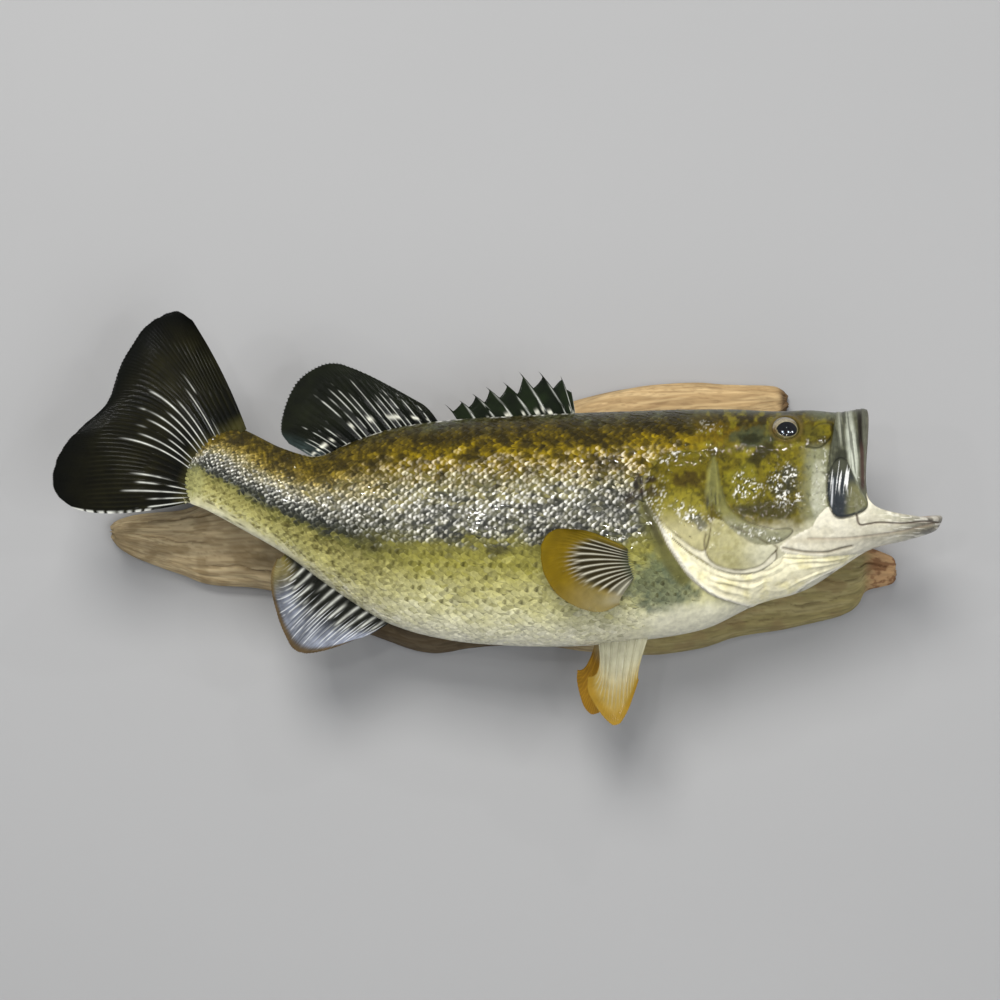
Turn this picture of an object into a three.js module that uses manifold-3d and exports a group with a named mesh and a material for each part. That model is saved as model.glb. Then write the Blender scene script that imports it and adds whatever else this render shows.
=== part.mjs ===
// Mounted largemouth bass on driftwood, in millimetres, +Z up, head towards +X, wall plane y = 0.
import * as THREE from "three";
import { mergeVertices } from "three/addons/utils/BufferGeometryUtils.js";
import Module from "manifold-3d";

const wasm = await Module();
wasm.setup();

// ---- driving sizes -------------------------------------------------------------------------
const GAP = 0.3;
const BODY_RING = 24;
const MOUTH_RING = 18;
const CORNER = 0.28;
const HEAD_TURN = -0.06;
const HEAD_PIVOT_X = 129;
const PLATE_RISE = 1.5;
const PLATE_DEPTH = 1.5;
const MEMBRANE_RISE = 0.9;
const EYE_RADIUS = 11;
const EYE_X = 176.8;
const EYE_Z = 40.6;
const EYE_MID_Y = -81.5;
const EYE_OUT = 17.9;
const FIN_ROOT_HALF = 1.3;
const FIN_EDGE_HALF = 0.55;
const WOOD_RING = 12;
const STEPS_PER_RIB = 1;

// Body ribs, tail to mouth rim: back, mid-side and belly points [x, z], half width, mid-plane y.
const RIBS = [
  { back: [-161.0, 45.4], side: [-188.9, 24.9], belly: [-192.1, -3.1], half: 4.4, y: -98, round: 1.0 },
  { back: [-152.0, 41.1], side: [-176.9, 19.9], belly: [-181.9, -7.5], half: 6.9, y: -95, round: 1.0 },
  { back: [-134.4, 32.5], side: [-158.7, 9.4], belly: [-160.6, -19.4], half: 10.7, y: -90, round: 1.0 },
  { back: [-114.1, 28.2], side: [-131.7, -3.8], belly: [-134.2, -35.1], half: 16.4, y: -85, round: 1.0 },
  { back: [-93.1, 37.1], side: [-103.7, -13.8], belly: [-105.0, -56.6], half: 23.9, y: -81, round: 1.0 },
  { back: [-66.1, 46.0], side: [-70.5, -18.9], belly: [-70.5, -78.1], half: 31.5, y: -79, round: 1.0 },
  { back: [-31.5, 51.0], side: [-32.8, -20.2], belly: [-32.8, -88.8], half: 37.8, y: -78, round: 0.98 },
  { back: [9.4, 53.5], side: [9.4, -20.2], belly: [9.4, -92.6], half: 42.2, y: -78, round: 0.95 },
  { back: [50.4, 55.4], side: [50.4, -18.9], belly: [50.4, -92.6], half: 44.1, y: -78, round: 0.93 },
  { back: [88.2, 56.7], side: [91.3, -16.4], belly: [91.3, -88.8], half: 44.1, y: -78, round: 0.9 },
  { back: [119.7, 57.3], side: [129.2, -12.6], belly: [129.2, -81.3], half: 42.2, y: -78, round: 0.88 },
  { back: [148.0, 57.3], side: [155.5, -7.6], belly: [162, -66], half: 39.7, y: -79, round: 0.84 },
  { back: [172.9, 56.0], side: [180.5, -6], belly: [193.5, -56], half: 37.8, y: -81, round: 0.8 },
  { back: [194.5, 56.5], side: [199, -5], belly: [229.6, -32.5], half: 35.9, y: -84, round: 0.8 },
  { back: [211.8, 55.1], side: [210, -6], belly: [253.8, -25.7], half: 34.0, y: -86, round: 0.8 },
  { back: [224.0, 56.9], side: [215.5, -7], belly: [271.0, -20.0], half: 32.1, y: -88, round: 0.8 },
  { back: [228.2, 56.9], side: [218.3, -7.5], belly: [275.8, -13.8], half: 30.9, y: -89, round: 0.8 },
];
// The hollow of the mouth, throat to gape and a little beyond it.
const MOUTH = [
  { back: [136, 2], side: [137, -10], belly: [138, -22], half: 9, y: -78, round: 1.0 },
  { back: [156, 16], side: [158, -9], belly: [162, -36], half: 16, y: -79, round: 1.0 },
  { back: [178, 27], side: [180, -8], belly: [194, -36], half: 22, y: -81, round: 1.0 },
  { back: [197, 39], side: [198, -6], belly: [222, -26], half: 26, y: -84, round: 0.95 },
  { back: [212, 48], side: [209, -7], belly: [246, -20.5], half: 28, y: -86, round: 0.85 },
  { back: [222, 52], side: [215, -8], belly: [264, -15.5], half: 28, y: -88, round: 0.8 },
  { back: [229, 53.4], side: [218.3, -7], belly: [271.5, -11.5], half: 27.6, y: -89, round: 0.8 },
  { back: [240, 58], side: [230, 4], belly: [277, -2], half: 27.6, y: -90, round: 0.8 },
];

// ---- curves and lofted surfaces ------------------------------------------------------------
const catmull = (a, b, c, d, t) =>
  0.5 * (2 * b + (c - a) * t + (2 * a - 5 * b + 4 * c - d) * t * t + (3 * b - a - 3 * c + d) * t ** 3);

// Value at place u of a list of numbers, smooth through every one, straight beyond both ends.
function along(list, u) {
  const last = list.length - 1;
  if (u <= 0) return list[0] + (list[1] - list[0]) * u;
  if (u >= last) return list[last] + (list[last] - list[last - 1]) * (u - last);
  const i = Math.floor(u);
  const before = i > 0 ? list[i - 1] : 2 * list[0] - list[1];
  const after = i + 2 <= last ? list[i + 2] : 2 * list[last] - list[last - 1];
  return catmull(before, list[i], list[i + 1], after, u - i);
}

// Rib at u: the three points of its bent mid-line, its half width, mid-plane and roundness.
function ribAt(ribs, u) {
  const pair = (key) => [0, 1].map((k) => along(ribs.map((rib) => rib[key][k]), u));
  const one = (key) => along(ribs.map((rib) => rib[key]), u);
  return { back: pair("back"), side: pair("side"), belly: pair("belly"),
    half: one("half"), y: one("y"), round: one("round") };
}

const ramp = (s) => (Math.sqrt(4 * s * s + CORNER * CORNER) + 2 * s) / 2;
const bend = (s) => (ramp(s) - ramp(-0.5)) / (ramp(0.5) - ramp(-0.5));

// Point of a rib; angle 0 is the back, 90 the near side, 180 the belly, 270 the far side.
function ringPoint(rib, angle) {
  const down = (1 - Math.cos(angle)) / 2;
  const up = bend(0.5 - down);
  const low = bend(down - 0.5);
  const mid = [0, 1].map((k) => rib.side[k] + (rib.back[k] - rib.side[k]) * up
    + (rib.belly[k] - rib.side[k]) * low);
  const swing = Math.sign(Math.sin(angle)) * Math.abs(Math.sin(angle)) ** rib.round;
  return new THREE.Vector3(mid[0], rib.y - rib.half * swing, mid[1]);
}

// Point of a lofted surface, moved out along its own normal.
function surfacePoint(ribs, u, angle, out) {
  const point = ringPoint(ribAt(ribs, u), angle);
  if (out === 0) return point;
  const step = 0.02;
  const alongBody = ringPoint(ribAt(ribs, u + step), angle).sub(ringPoint(ribAt(ribs, u - step), angle));
  const rib = ribAt(ribs, u);
  const around = ringPoint(rib, angle + step).sub(ringPoint(rib, angle - step));
  const normal = new THREE.Vector3().crossVectors(around, alongBody).normalize();
  return point.addScaledVector(normal, out);
}

function solidFrom(points, faces) {
  const sixth = (f) => points[f[0]].dot(new THREE.Vector3().crossVectors(points[f[1]], points[f[2]]));
  const inward = faces.reduce((sum, face) => sum + sixth(face), 0) < 0;
  if (inward) faces.forEach((face) => face.reverse());
  const geometry = new THREE.BufferGeometry();
  geometry.setAttribute("position", new THREE.Float32BufferAttribute(points.flatMap((p) => [p.x, p.y, p.z]), 3));
  geometry.setIndex(faces.flat());
  return toManifold(geometry);
}

function toManifold(geometry) {
  const plain = geometry.clone();
  plain.deleteAttribute("normal");
  plain.deleteAttribute("uv");
  const merged = mergeVertices(plain, 1e-4);
  const mesh = new wasm.Mesh({
    numProp: 3,
    vertProperties: Float32Array.from(merged.attributes.position.array),
    triVerts: Uint32Array.from(merged.index.array),
  });
  return new wasm.Manifold(mesh);
}

// Places of the sections between ribs u0 and u1, always at the same fractions of a rib.
function sections(u0, u1) {
  const places = [u0];
  for (let k = Math.floor(u0 * STEPS_PER_RIB + 0.1) + 1; k < u1 * STEPS_PER_RIB - 0.1; k += 1) {
    places.push(k / STEPS_PER_RIB);
  }
  return [...places, u1];
}

// Closed solid between ribs u0 and u1; each end is closed by straight lines across the body.
function loft(ribs, u0, u1, ring, out) {
  const points = [];
  const faces = [];
  const places = sections(u0, u1);
  const steps = places.length - 1;
  for (const u of places) {
    for (let j = 0; j < ring; j += 1) {
      points.push(surfacePoint(ribs, u, (2 * Math.PI * j) / ring, out));
    }
  }
  for (let i = 0; i < steps; i += 1) {
    for (let j = 0; j < ring; j += 1) {
      const a = i * ring + j;
      const b = i * ring + ((j + 1) % ring);
      faces.push([a, b, a + ring], [b, b + ring, a + ring]);
    }
  }
  const end = steps * ring;
  for (let j = 0; j < ring / 2; j += 1) {
    const far = (ring - j) % ring;
    if (j > 0) {
      faces.push([far, j + 1, j], [end + far, end + j, end + j + 1]);
    }
    if (j < ring / 2 - 1) {
      faces.push([far, ring - j - 1, j + 1], [end + far, end + j + 1, end + ring - j - 1]);
    }
  }
  return solidFrom(points, faces);
}

// ---- side outlines cut straight through the fish -------------------------------------------
// Smooth closed outline in the x-z plane, moved outwards by grow.
function outline(points, grow) {
  const curve = new THREE.CatmullRomCurve3(points.map((p) => new THREE.Vector3(p[0], p[1], 0)), true, "centripetal");
  const ring = curve.getPoints(points.length * 2).slice(0, -1);
  const turn = Math.sign(THREE.ShapeUtils.area(ring));
  return ring.map((p, i) => {
    const before = ring[(i + ring.length - 1) % ring.length];
    const after = ring[(i + 1) % ring.length];
    const way = new THREE.Vector3().subVectors(after, before).normalize();
    return new THREE.Vector2(p.x + turn * way.y * grow, p.y - turn * way.x * grow);
  });
}

function prism(points, grow) {
  const geometry = new THREE.ExtrudeGeometry(new THREE.Shape(outline(points, grow)), { depth: 200, bevelEnabled: false });
  geometry.rotateX(Math.PI / 2);
  return toManifold(geometry);
}

// Everything on the near (-1) or far (1) side of the head's mid-plane.
function headSide(side) {
  const geometry = new THREE.BoxGeometry(400, 200, 400);
  geometry.translate(0, side * (100 + GAP / 2), 0);
  geometry.rotateZ(HEAD_TURN);
  geometry.translate(HEAD_PIVOT_X, RIBS[10].y, 0);
  return toManifold(geometry);
}

function ball(radius, x, y, z, stretch) {
  const geometry = new THREE.SphereGeometry(radius, 14, 9);
  geometry.scale(...stretch);
  geometry.translate(x, y, z);
  return toManifold(geometry);
}

const mainBody = (solid) => solid.decompose().reduce((a, b) => (b.volume() > a.volume() ? b : a));

// ---- fins ----------------------------------------------------------------------------------
// A fin is a thin plate of rays from a root line to an edge line, bowed through a middle line.
// Each line lists [x, z] points; lean(s, t) is its y; notch(s) shortens the web between spines.
function fin({ root, middle, edge, lean, rays, rows, notch = () => 1, rootHalf = FIN_ROOT_HALF }) {
  const lineAt = (line, s) => [0, 1].map((k) => along(line.map((p) => p[k]), s * (line.length - 1)));
  const place = (s, t) => {
    const reach = t * notch(s);
    const [a, b, c] = [lineAt(root, s), lineAt(middle, s), lineAt(edge, s)];
    const mix = (k) => a[k] * (1 - reach) * (1 - 2 * reach) + 4 * b[k] * reach * (1 - reach)
      + c[k] * reach * (2 * reach - 1);
    return new THREE.Vector3(mix(0), lean(s, reach), mix(1));
  };
  const points = [];
  const half = (s, t) => (rootHalf + (FIN_EDGE_HALF - rootHalf) * t ** 0.6);
  for (const side of [-1, 1]) {
    for (let i = 0; i <= rays; i += 1) {
      for (let j = 0; j <= rows; j += 1) {
        const [s, t] = [i / rays, j / rows];
        const step = 0.01;
        const du = place(s + step, t).sub(place(s - step, t));
        const dv = place(s, Math.min(t + step, 1)).sub(place(s, Math.max(t - step, 0)));
        const normal = new THREE.Vector3().crossVectors(du, dv).normalize();
        points.push(place(s, t).addScaledVector(normal, side * half(s, t)));
      }
    }
  }
  const faces = [];
  const sheet = (rays + 1) * (rows + 1);
  const at = (i, j) => i * (rows + 1) + j;
  const quad = (a, b, c, d) => faces.push([a, b, c], [a, c, d]);
  for (let i = 0; i < rays; i += 1) {
    for (let j = 0; j < rows; j += 1) {
      quad(at(i, j), at(i, j + 1), at(i + 1, j + 1), at(i + 1, j));
      quad(sheet + at(i, j), sheet + at(i + 1, j), sheet + at(i + 1, j + 1), sheet + at(i, j + 1));
    }
    quad(at(i, 0), at(i + 1, 0), sheet + at(i + 1, 0), sheet + at(i, 0));
    quad(at(i + 1, rows), at(i, rows), sheet + at(i, rows), sheet + at(i + 1, rows));
  }
  for (let j = 0; j < rows; j += 1) {
    quad(at(0, j + 1), at(0, j), sheet + at(0, j), sheet + at(0, j + 1));
    quad(at(rays, j), at(rays, j + 1), sheet + at(rays, j + 1), sheet + at(rays, j));
  }
  return solidFrom(points, faces);
}

// Web between stiff spines: full height at each spine, lower just behind it.
const SPINES = 9;
const spineWeb = (s) => {
  const place = s * (SPINES - 1);
  const between = place - Math.floor(place + 1e-6);
  return between < 1e-3 ? 1 : 0.62 + 0.2 * between;
};

const caudalWhole = fin({
  root: [[-157.5, 44], [-172.5, 34], [-184.5, 23], [-189, 10], [-189.5, -1]],
  middle: [[-172.8, 80], [-198, 76], [-217, 52], [-231, 25], [-236, -8.3]],
  edge: [[-198, 118.7], [-212, 114.3], [-226.5, 102.7], [-236, 84], [-243.9, 60.1],
    [-258, 46], [-270.5, 33], [-277, 14], [-273, 0.5]],
  lean: (s, t) => -98 - 6 * t + 5 * Math.sin(2.4 * Math.PI * s) * t,
  rays: 12, rows: 4, rootHalf: 1.9,
});

const softDorsalWhole = fin({
  root: [[-37, 46], [-56, 43], [-76, 37], [-94, 30], [-112, 23]],
  middle: [[-43, 55], [-73, 64], [-98, 63], [-116, 45], [-124, 30.5]],
  edge: [[-49, 60.6], [-70, 72.5], [-90, 82.6], [-106, 87.4], [-121, 82.5],
    [-131.5, 71.5], [-137.5, 56], [-138.5, 43], [-133, 35.5]],
  lean: (s, t) => -79 - 4 * s + 3 * t * Math.sin(3 * s),
  rays: 10, rows: 3,
});

const spinyDorsalWhole = fin({
  root: [[47, 50], [37, 49.5], [27, 49], [17, 48.5], [7, 48], [-3, 47], [-13, 46], [-22, 45], [-31, 44]],
  middle: [[46.5, 62], [38, 66], [26, 67], [15, 66.5], [4.5, 64], [-5.5, 62], [-15, 59.5], [-24, 57], [-33, 54]],
  edge: [[44.5, 69.9], [38, 78.3], [24.2, 81.2], [11.9, 80.8], [1.8, 74.3],
    [-9.1, 71.4], [-17.7, 67], [-25.7, 62.7], [-35.1, 60.5]],
  lean: (s, t) => -78 - 1.5 * t,
  rays: 24, rows: 2, notch: spineWeb,
});

const analWhole = fin({
  root: [[-62, -72], [-79, -62], [-97, -50], [-114, -39], [-131, -29]],
  middle: [[-78, -82.5], [-103, -80], [-120, -70], [-131, -55], [-137, -36]],
  edge: [[-91, -87.6], [-106, -93.6], [-121, -97], [-129.5, -94.5], [-135, -86],
    [-140, -72], [-143.5, -57], [-143.4, -45], [-139.5, -36]],
  lean: (s, t) => -79 - 5 * s - 4 * t,
  rays: 10, rows: 3,
});

// Near breast fin, spread and standing out from the flank behind the gill cover.
const PECTORAL = {
  root: [[80.5, -31], [82, -35], [83, -39], [83.5, -43], [83, -47]],
  middle: [[60, -21], [50, -28], [50, -41], [58, -53], [74, -59]],
  edge: [[45, -17.8], [32, -17.9], [24.5, -26], [24.8, -39.9], [29.4, -51.6],
    [38, -60.5], [50, -66.5], [62, -68], [73, -63]],
  rays: 9,
  rows: 3,
};
const pectoralNear = fin({ ...PECTORAL, lean: (s, t) => -116 - 3 * (1 - s) - 19.5 * t ** 0.8 });

// Far breast fin, folded flat against the flank that faces the wood.
const pectoralFar = fin({
  root: [[82, -30], [83, -34], [83.5, -38], [83.5, -42], [82.5, -46]],
  middle: [[56, -27], [54, -33], [54, -40], [56, -47], [60, -52]],
  edge: [[30, -26], [24, -31], [21, -37], [21, -43], [23, -49], [27, -54], [32, -57], [38, -58.5], [45, -58]],
  lean: (s, t) => -36 - 2.5 * s + 3.4 * t ** 0.5,
  rays: 6, rows: 3, rootHalf: 0.7,
});

const PELVIC = {
  root: [[63, -82], [69, -83], [76, -84], [83, -84], [90, -83]],
  middle: [[62, -104], [65, -112], [72, -115], [80, -112], [87, -104]],
  edge: [[54.5, -110], [54.5, -119], [59, -128], [65, -136.5], [70.5, -141],
    [75, -139.5], [79.5, -132], [83, -123], [86.5, -112]],
  rays: 8,
  rows: 3,
};
const pelvicNearWhole = fin({ ...PELVIC, lean: (s, t) => -86.5 - 7 * t - 2 * s });
const pelvicFarWhole = fin({
  root: [[62, -82], [67, -83], [72, -84], [77, -84], [82, -83]],
  middle: [[56, -103], [58, -112], [64, -116], [71, -113], [78, -105]],
  edge: [[49, -108], [48.8, -115.5], [51, -125.5], [54, -133], [58.5, -137],
    [64, -135], [69, -128], [73, -119], [76, -110]],
  lean: (s, t) => -69.5 + 8 * t,
  rays: 6, rows: 3,
});

// ---- body ----------------------------------------------------------------------------------
const GILL_COVER = [[105.5, 27.6], [97.8, 21.7], [92.5, 13.8], [90.5, 5.9], [93.9, -3], [96.3, -9.9],
  [104.7, -19.8], [118.1, -30.1], [130.4, -37.5], [139.3, -43], [152.2, -43.3], [163, -39.5],
  [170.9, -34.1], [179.3, -28.7], [186.2, -21.7], [180.8, -21.2], [173.9, -24.2], [160.1, -23.2],
  [148.7, -14.3], [140.8, -3], [138.3, 11.9], [137.6, 26.2], [121.5, 29.6]];
const MEMBRANE = [[96, 0], [89.7, -3], [92.4, -13], [96.8, -21.4], [104.3, -34.4], [111.6, -47.2],
  [126, -56], [144, -65], [160, -71], [178, -70], [192, -63], [206, -52], [214, -44], [211, -33], [194, -29],
  [180, -26], [163, -33], [143, -37], [124, -28], [107, -15]];
const MAXILLA = [[204.8, 51.6], [213, 54.5], [221, 51], [220.8, 46], [221.4, 36.8], [222.1, 26], [222.7, 7.4],
  [225.1, -3.5], [216.7, -9.5], [212.1, -10.4], [205, -8.6], [201.4, -1.8], [200.1, 6.1], [202, 18.4],
  [203.8, 30.7], [203.8, 43]];
const JAW_BACK = [[179, -28.5], [188, -18.5], [199, -12.2], [210, -12], [218, -10], [223.5, 4], [262, 4], [285, -3],
  [285, -24], [262, -38], [235, -50], [212, -50], [194, -44]];
const UPPER_JAW = [[214.5, 62], [216.5, 40], [216, 18], [219, 4], [240, 4], [240, 62]];

const mouth = loft(MOUTH, 0, 7, MOUTH_RING, 0);
const bodyUnder = loft(RIBS, 7.5, 16.5, BODY_RING, -PLATE_DEPTH);
const bodyPocket = loft(RIBS, 7.5, 16.5, BODY_RING, -PLATE_DEPTH - GAP);
const bodyPlate = loft(RIBS, 8, 16, BODY_RING, PLATE_RISE);
const bodyMembrane = loft(RIBS, 8, 15.5, BODY_RING, MEMBRANE_RISE);

const gillCover = bodyPlate.intersect(prism(GILL_COVER, 0)).subtract(bodyUnder);
const membrane = bodyMembrane.intersect(prism(MEMBRANE, 0)).subtract(prism(GILL_COVER, GAP)).subtract(bodyUnder)
  .subtract(prism(JAW_BACK, GAP));
const maxilla = bodyPlate.intersect(prism(MAXILLA, 0)).subtract(bodyUnder);
const pocketOf = (points) => prism(points, GAP).subtract(bodyPocket);
const coverPocket = pocketOf(GILL_COVER).add(pocketOf(MEMBRANE).subtract(prism(JAW_BACK, -GAP)));

const skull = loft(RIBS, 10.01, 16, BODY_RING, 0).subtract(mouth);
const lowerJaw = mainBody(skull.intersect(prism(JAW_BACK, 0)).subtract(pocketOf(MAXILLA))
  .subtract(pocketOf(GILL_COVER)));
const upperJaw = mainBody(skull.intersect(prism(UPPER_JAW, 0)).subtract(prism(JAW_BACK, GAP))
  .subtract(pocketOf(MAXILLA)));

const gapFlesh = loft(RIBS, -0.02, 10.5, BODY_RING, GAP);
const eyeAt = (side, radius) => ball(radius, EYE_X, EYE_MID_Y + side * EYE_OUT, EYE_Z, [1, 1, 1]);
const sockets = eyeAt(-1, EYE_RADIUS + GAP).add(eyeAt(1, EYE_RADIUS + GAP));
const head = mainBody(skull.subtract(prism(JAW_BACK, GAP)).subtract(prism(UPPER_JAW, GAP))
  .subtract(pocketOf(MAXILLA)).subtract(coverPocket).subtract(sockets));
const trunk = mainBody(loft(RIBS, 4.01, 9.99, BODY_RING, 0).subtract(coverPocket));
const tailStalk = loft(RIBS, 0, 3.99, BODY_RING, 0);
const tongue = ball(1, 232, -86.5, -13, [24, 12, 4.5]).intersect(loft(MOUTH, 0, 7, MOUTH_RING, -GAP));

const pectoralNearTrimmed = mainBody(pectoralNear.subtract(gapFlesh));
const pectoralFarTrimmed = mainBody(pectoralFar.subtract(gapFlesh));
const pelvicNear = mainBody(pelvicNearWhole.subtract(gapFlesh));
const pelvicFar = mainBody(pelvicFarWhole.subtract(gapFlesh));
const spinyDorsal = mainBody(spinyDorsalWhole.subtract(gapFlesh));
const softDorsal = mainBody(softDorsalWhole.subtract(gapFlesh));
const anal = mainBody(analWhole.subtract(gapFlesh));
const caudal = mainBody(caudalWhole.subtract(gapFlesh));

// ---- driftwood -----------------------------------------------------------------------------
// Sections [x, top z, bottom z, depth from the wall]; flat behind, rounded in front.
const SLAB = [
  [-256.6, -16, -25, 9], [-250.7, -12.5, -32.2, 16], [-236.3, -9.2, -40, 21], [-210, -6.6, -49.2, 25],
  [-190.3, 0, -56, 27], [-150.9, 6.6, -59.7, 30], [-111.6, 13.1, -77.4, 33], [-75.5, 18.4, -92.5, 35],
  [-45.9, 24.9, -101.1, 36], [-15, 28, -97, 36], [25, 26, -96, 36], [56, 18, -99.6, 36], [98.4, 3.3, -102.1, 35],
  [131.3, -6.6, -97.8, 33], [157.5, -13.1, -89.9, 31], [190.3, -19.7, -84.7, 28], [223.1, -26.3, -76.8, 25],
  [234.9, -29.5, -70, 23], [241.5, -30.8, -60, 21], [257.9, -36.8, -55.8, 17], [261.8, -42, -50, 10],
];
const BRANCH = [
  [190.3, 69, 61, 8], [180.5, 75.1, 49.2, 16], [149.6, 76.1, 39.4, 22], [118.1, 77.1, 34.1, 25],
  [72.2, 71.5, 23, 28], [26.3, 57.8, 6.6, 30], [-13.1, 39.4, -9.8, 30], [-40, 24, -26, 26],
];

function wood(list, perSpan) {
  const points = [];
  const faces = [];
  const steps = (list.length - 1) * perSpan;
  for (let i = 0; i <= steps; i += 1) {
    const [x, top, bottom, depth] = [0, 1, 2, 3].map((k) => along(list.map((row) => row[k]), i / perSpan));
    for (let j = 0; j < WOOD_RING; j += 1) {
      const angle = (Math.PI * j) / (WOOD_RING - 1);
      const swell = Math.max(Math.sin(angle), 0) ** 0.55;
      const gnarl = 1 + 0.05 * Math.sin(i * 1.9 + j) + 0.03 * Math.sin(i * 0.7 + 2 * j);
      const z = (top + bottom) / 2 + ((top - bottom) / 2) * Math.cos(angle);
      points.push(new THREE.Vector3(x, -depth * swell * gnarl, z));
    }
  }
  for (let i = 0; i < steps; i += 1) {
    for (let j = 0; j < WOOD_RING; j += 1) {
      const a = i * WOOD_RING + j;
      const b = i * WOOD_RING + ((j + 1) % WOOD_RING);
      faces.push([a, b, b + WOOD_RING], [a, b + WOOD_RING, a + WOOD_RING]);
    }
  }
  const end = steps * WOOD_RING;
  for (let j = 1; j < WOOD_RING - 1; j += 1) {
    faces.push([0, j + 1, j], [end, end + j, end + j + 1]);
  }
  return solidFrom(points, faces);
}

const farFinSpace = pectoralFar.add(pectoralFar.translate([0, 1.2, 0])).add(pectoralFar.translate([0, 2.2, 0]));
const fishSpace = gapFlesh.add(loft(RIBS, 8, 15, BODY_RING, PLATE_RISE + GAP)).add(farFinSpace);
const slabWhole = wood(SLAB, 1);
const slab = mainBody(slabWhole.subtract(fishSpace));
const slabSpace = slabWhole.add(slabWhole.translate([0, -GAP, 0])).add(slabWhole.translate([0, 0, GAP]));
const branch = mainBody(wood(BRANCH, 1).subtract(fishSpace).subtract(slabSpace));

// ---- the object ----------------------------------------------------------------------------
const object = new THREE.Group();

function place(name, solid, color, roughness, metalness = 0) {
  const data = solid.getMesh();
  const geometry = new THREE.BufferGeometry();
  geometry.setAttribute("position", new THREE.Float32BufferAttribute(Array.from(data.vertProperties), 3));
  geometry.setIndex(Array.from(data.triVerts));
  geometry.computeVertexNormals();
  const mesh = new THREE.Mesh(geometry, new THREE.MeshStandardMaterial({ color, roughness, metalness }));
  mesh.name = name;
  object.add(mesh);
}

place("trunk", trunk, 0x8a8a4c, 0.25);
place("tail_stalk", tailStalk, 0x6f7040, 0.25);
place("head", head, 0x77703a, 0.2);
place("upper_jaw", upperJaw, 0x4a4c42, 0.2);
place("lower_jaw", lowerJaw, 0xd9d4bd, 0.25);
place("tongue", tongue, 0xd8b9a0, 0.3);
for (const [side, word] of [[-1, "near"], [1, "far"]]) {
  const half = headSide(side);
  place(`gill_cover_${word}`, mainBody(gillCover.intersect(half)), 0x8a8044, 0.2);
  place(`throat_membrane_${word}`, mainBody(membrane.intersect(half)), 0xe6e0c8, 0.3);
  place(`maxilla_${word}`, mainBody(maxilla.intersect(half)), 0x8d907c, 0.2);
  place(`eye_${word}`, eyeAt(side, EYE_RADIUS), 0x14110c, 0.05);
}
place("caudal_fin", caudal, 0x23261c, 0.3);
place("dorsal_fin_soft", softDorsal, 0x24271e, 0.3);
place("dorsal_fin_spiny", spinyDorsal, 0x262a20, 0.3);
place("anal_fin", anal, 0x4c4a38, 0.3);
place("pectoral_fin_near", pectoralNearTrimmed, 0xa58428, 0.3);
place("pectoral_fin_far", pectoralFarTrimmed, 0xa58428, 0.3);
place("pelvic_fin_near", pelvicNear, 0xcbb26a, 0.3);
place("pelvic_fin_far", pelvicFar, 0xa8842e, 0.3);
place("driftwood_slab", slab, 0x8d7b62, 0.9);
place("driftwood_branch", branch, 0xb08a5a, 0.9);

export default object;
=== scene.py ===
import math
from functools import partial
import bpy
import numpy as np
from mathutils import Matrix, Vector


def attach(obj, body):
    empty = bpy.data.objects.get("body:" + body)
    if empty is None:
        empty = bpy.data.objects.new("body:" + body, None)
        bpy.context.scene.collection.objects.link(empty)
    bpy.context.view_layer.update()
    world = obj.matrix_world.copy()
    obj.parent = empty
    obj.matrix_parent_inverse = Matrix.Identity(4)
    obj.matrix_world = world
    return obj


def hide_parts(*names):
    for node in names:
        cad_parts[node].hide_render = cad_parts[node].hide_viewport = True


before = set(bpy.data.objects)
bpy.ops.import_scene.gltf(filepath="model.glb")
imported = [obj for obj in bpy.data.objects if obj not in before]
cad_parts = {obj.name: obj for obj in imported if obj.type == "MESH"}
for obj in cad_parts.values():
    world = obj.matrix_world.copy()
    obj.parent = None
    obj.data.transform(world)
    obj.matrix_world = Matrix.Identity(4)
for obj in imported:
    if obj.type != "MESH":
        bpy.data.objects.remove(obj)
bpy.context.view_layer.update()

MM = 0.001

# ---- camera of the study picture: mm from the wall, and picture units per mm at unit distance ----
CAMERA_Y = -1565.5
LENS = 1487.5 / 0.63

# Body ribs, tail to mouth rim, in mm: back x z, side x z, belly x z, half width, mid y, roundness.
RIBS = np.array([
    [-161.0, 45.4, -188.9, 24.9, -192.1, -3.1, 4.4, -98, 1.0],
    [-152.0, 41.1, -176.9, 19.9, -181.9, -7.5, 6.9, -95, 1.0],
    [-134.4, 32.5, -158.7, 9.4, -160.6, -19.4, 10.7, -90, 1.0],
    [-114.1, 28.2, -131.7, -3.8, -134.2, -35.1, 16.4, -85, 1.0],
    [-93.1, 37.1, -103.7, -13.8, -105.0, -56.6, 23.9, -81, 1.0],
    [-66.1, 46.0, -70.5, -18.9, -70.5, -78.1, 31.5, -79, 1.0],
    [-31.5, 51.0, -32.8, -20.2, -32.8, -88.8, 37.8, -78, 0.98],
    [9.4, 53.5, 9.4, -20.2, 9.4, -92.6, 42.2, -78, 0.95],
    [50.4, 55.4, 50.4, -18.9, 50.4, -92.6, 44.1, -78, 0.93],
    [88.2, 56.7, 91.3, -16.4, 91.3, -88.8, 44.1, -78, 0.9],
    [119.7, 57.3, 129.2, -12.6, 129.2, -81.3, 42.2, -78, 0.88],
    [148.0, 57.3, 155.5, -7.6, 162.0, -66.0, 39.7, -79, 0.84],
    [172.9, 56.0, 180.5, -6.0, 193.5, -56.0, 37.8, -81, 0.8],
    [194.5, 56.5, 199.0, -5.0, 229.6, -32.5, 35.9, -84, 0.8],
    [211.8, 55.1, 210.0, -6.0, 253.8, -25.7, 34.0, -86, 0.8],
    [224.0, 56.9, 215.5, -7.0, 271.0, -20.0, 32.1, -88, 0.8],
    [228.2, 56.9, 218.3, -7.5, 275.8, -13.8, 30.9, -89, 0.8]])
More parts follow.
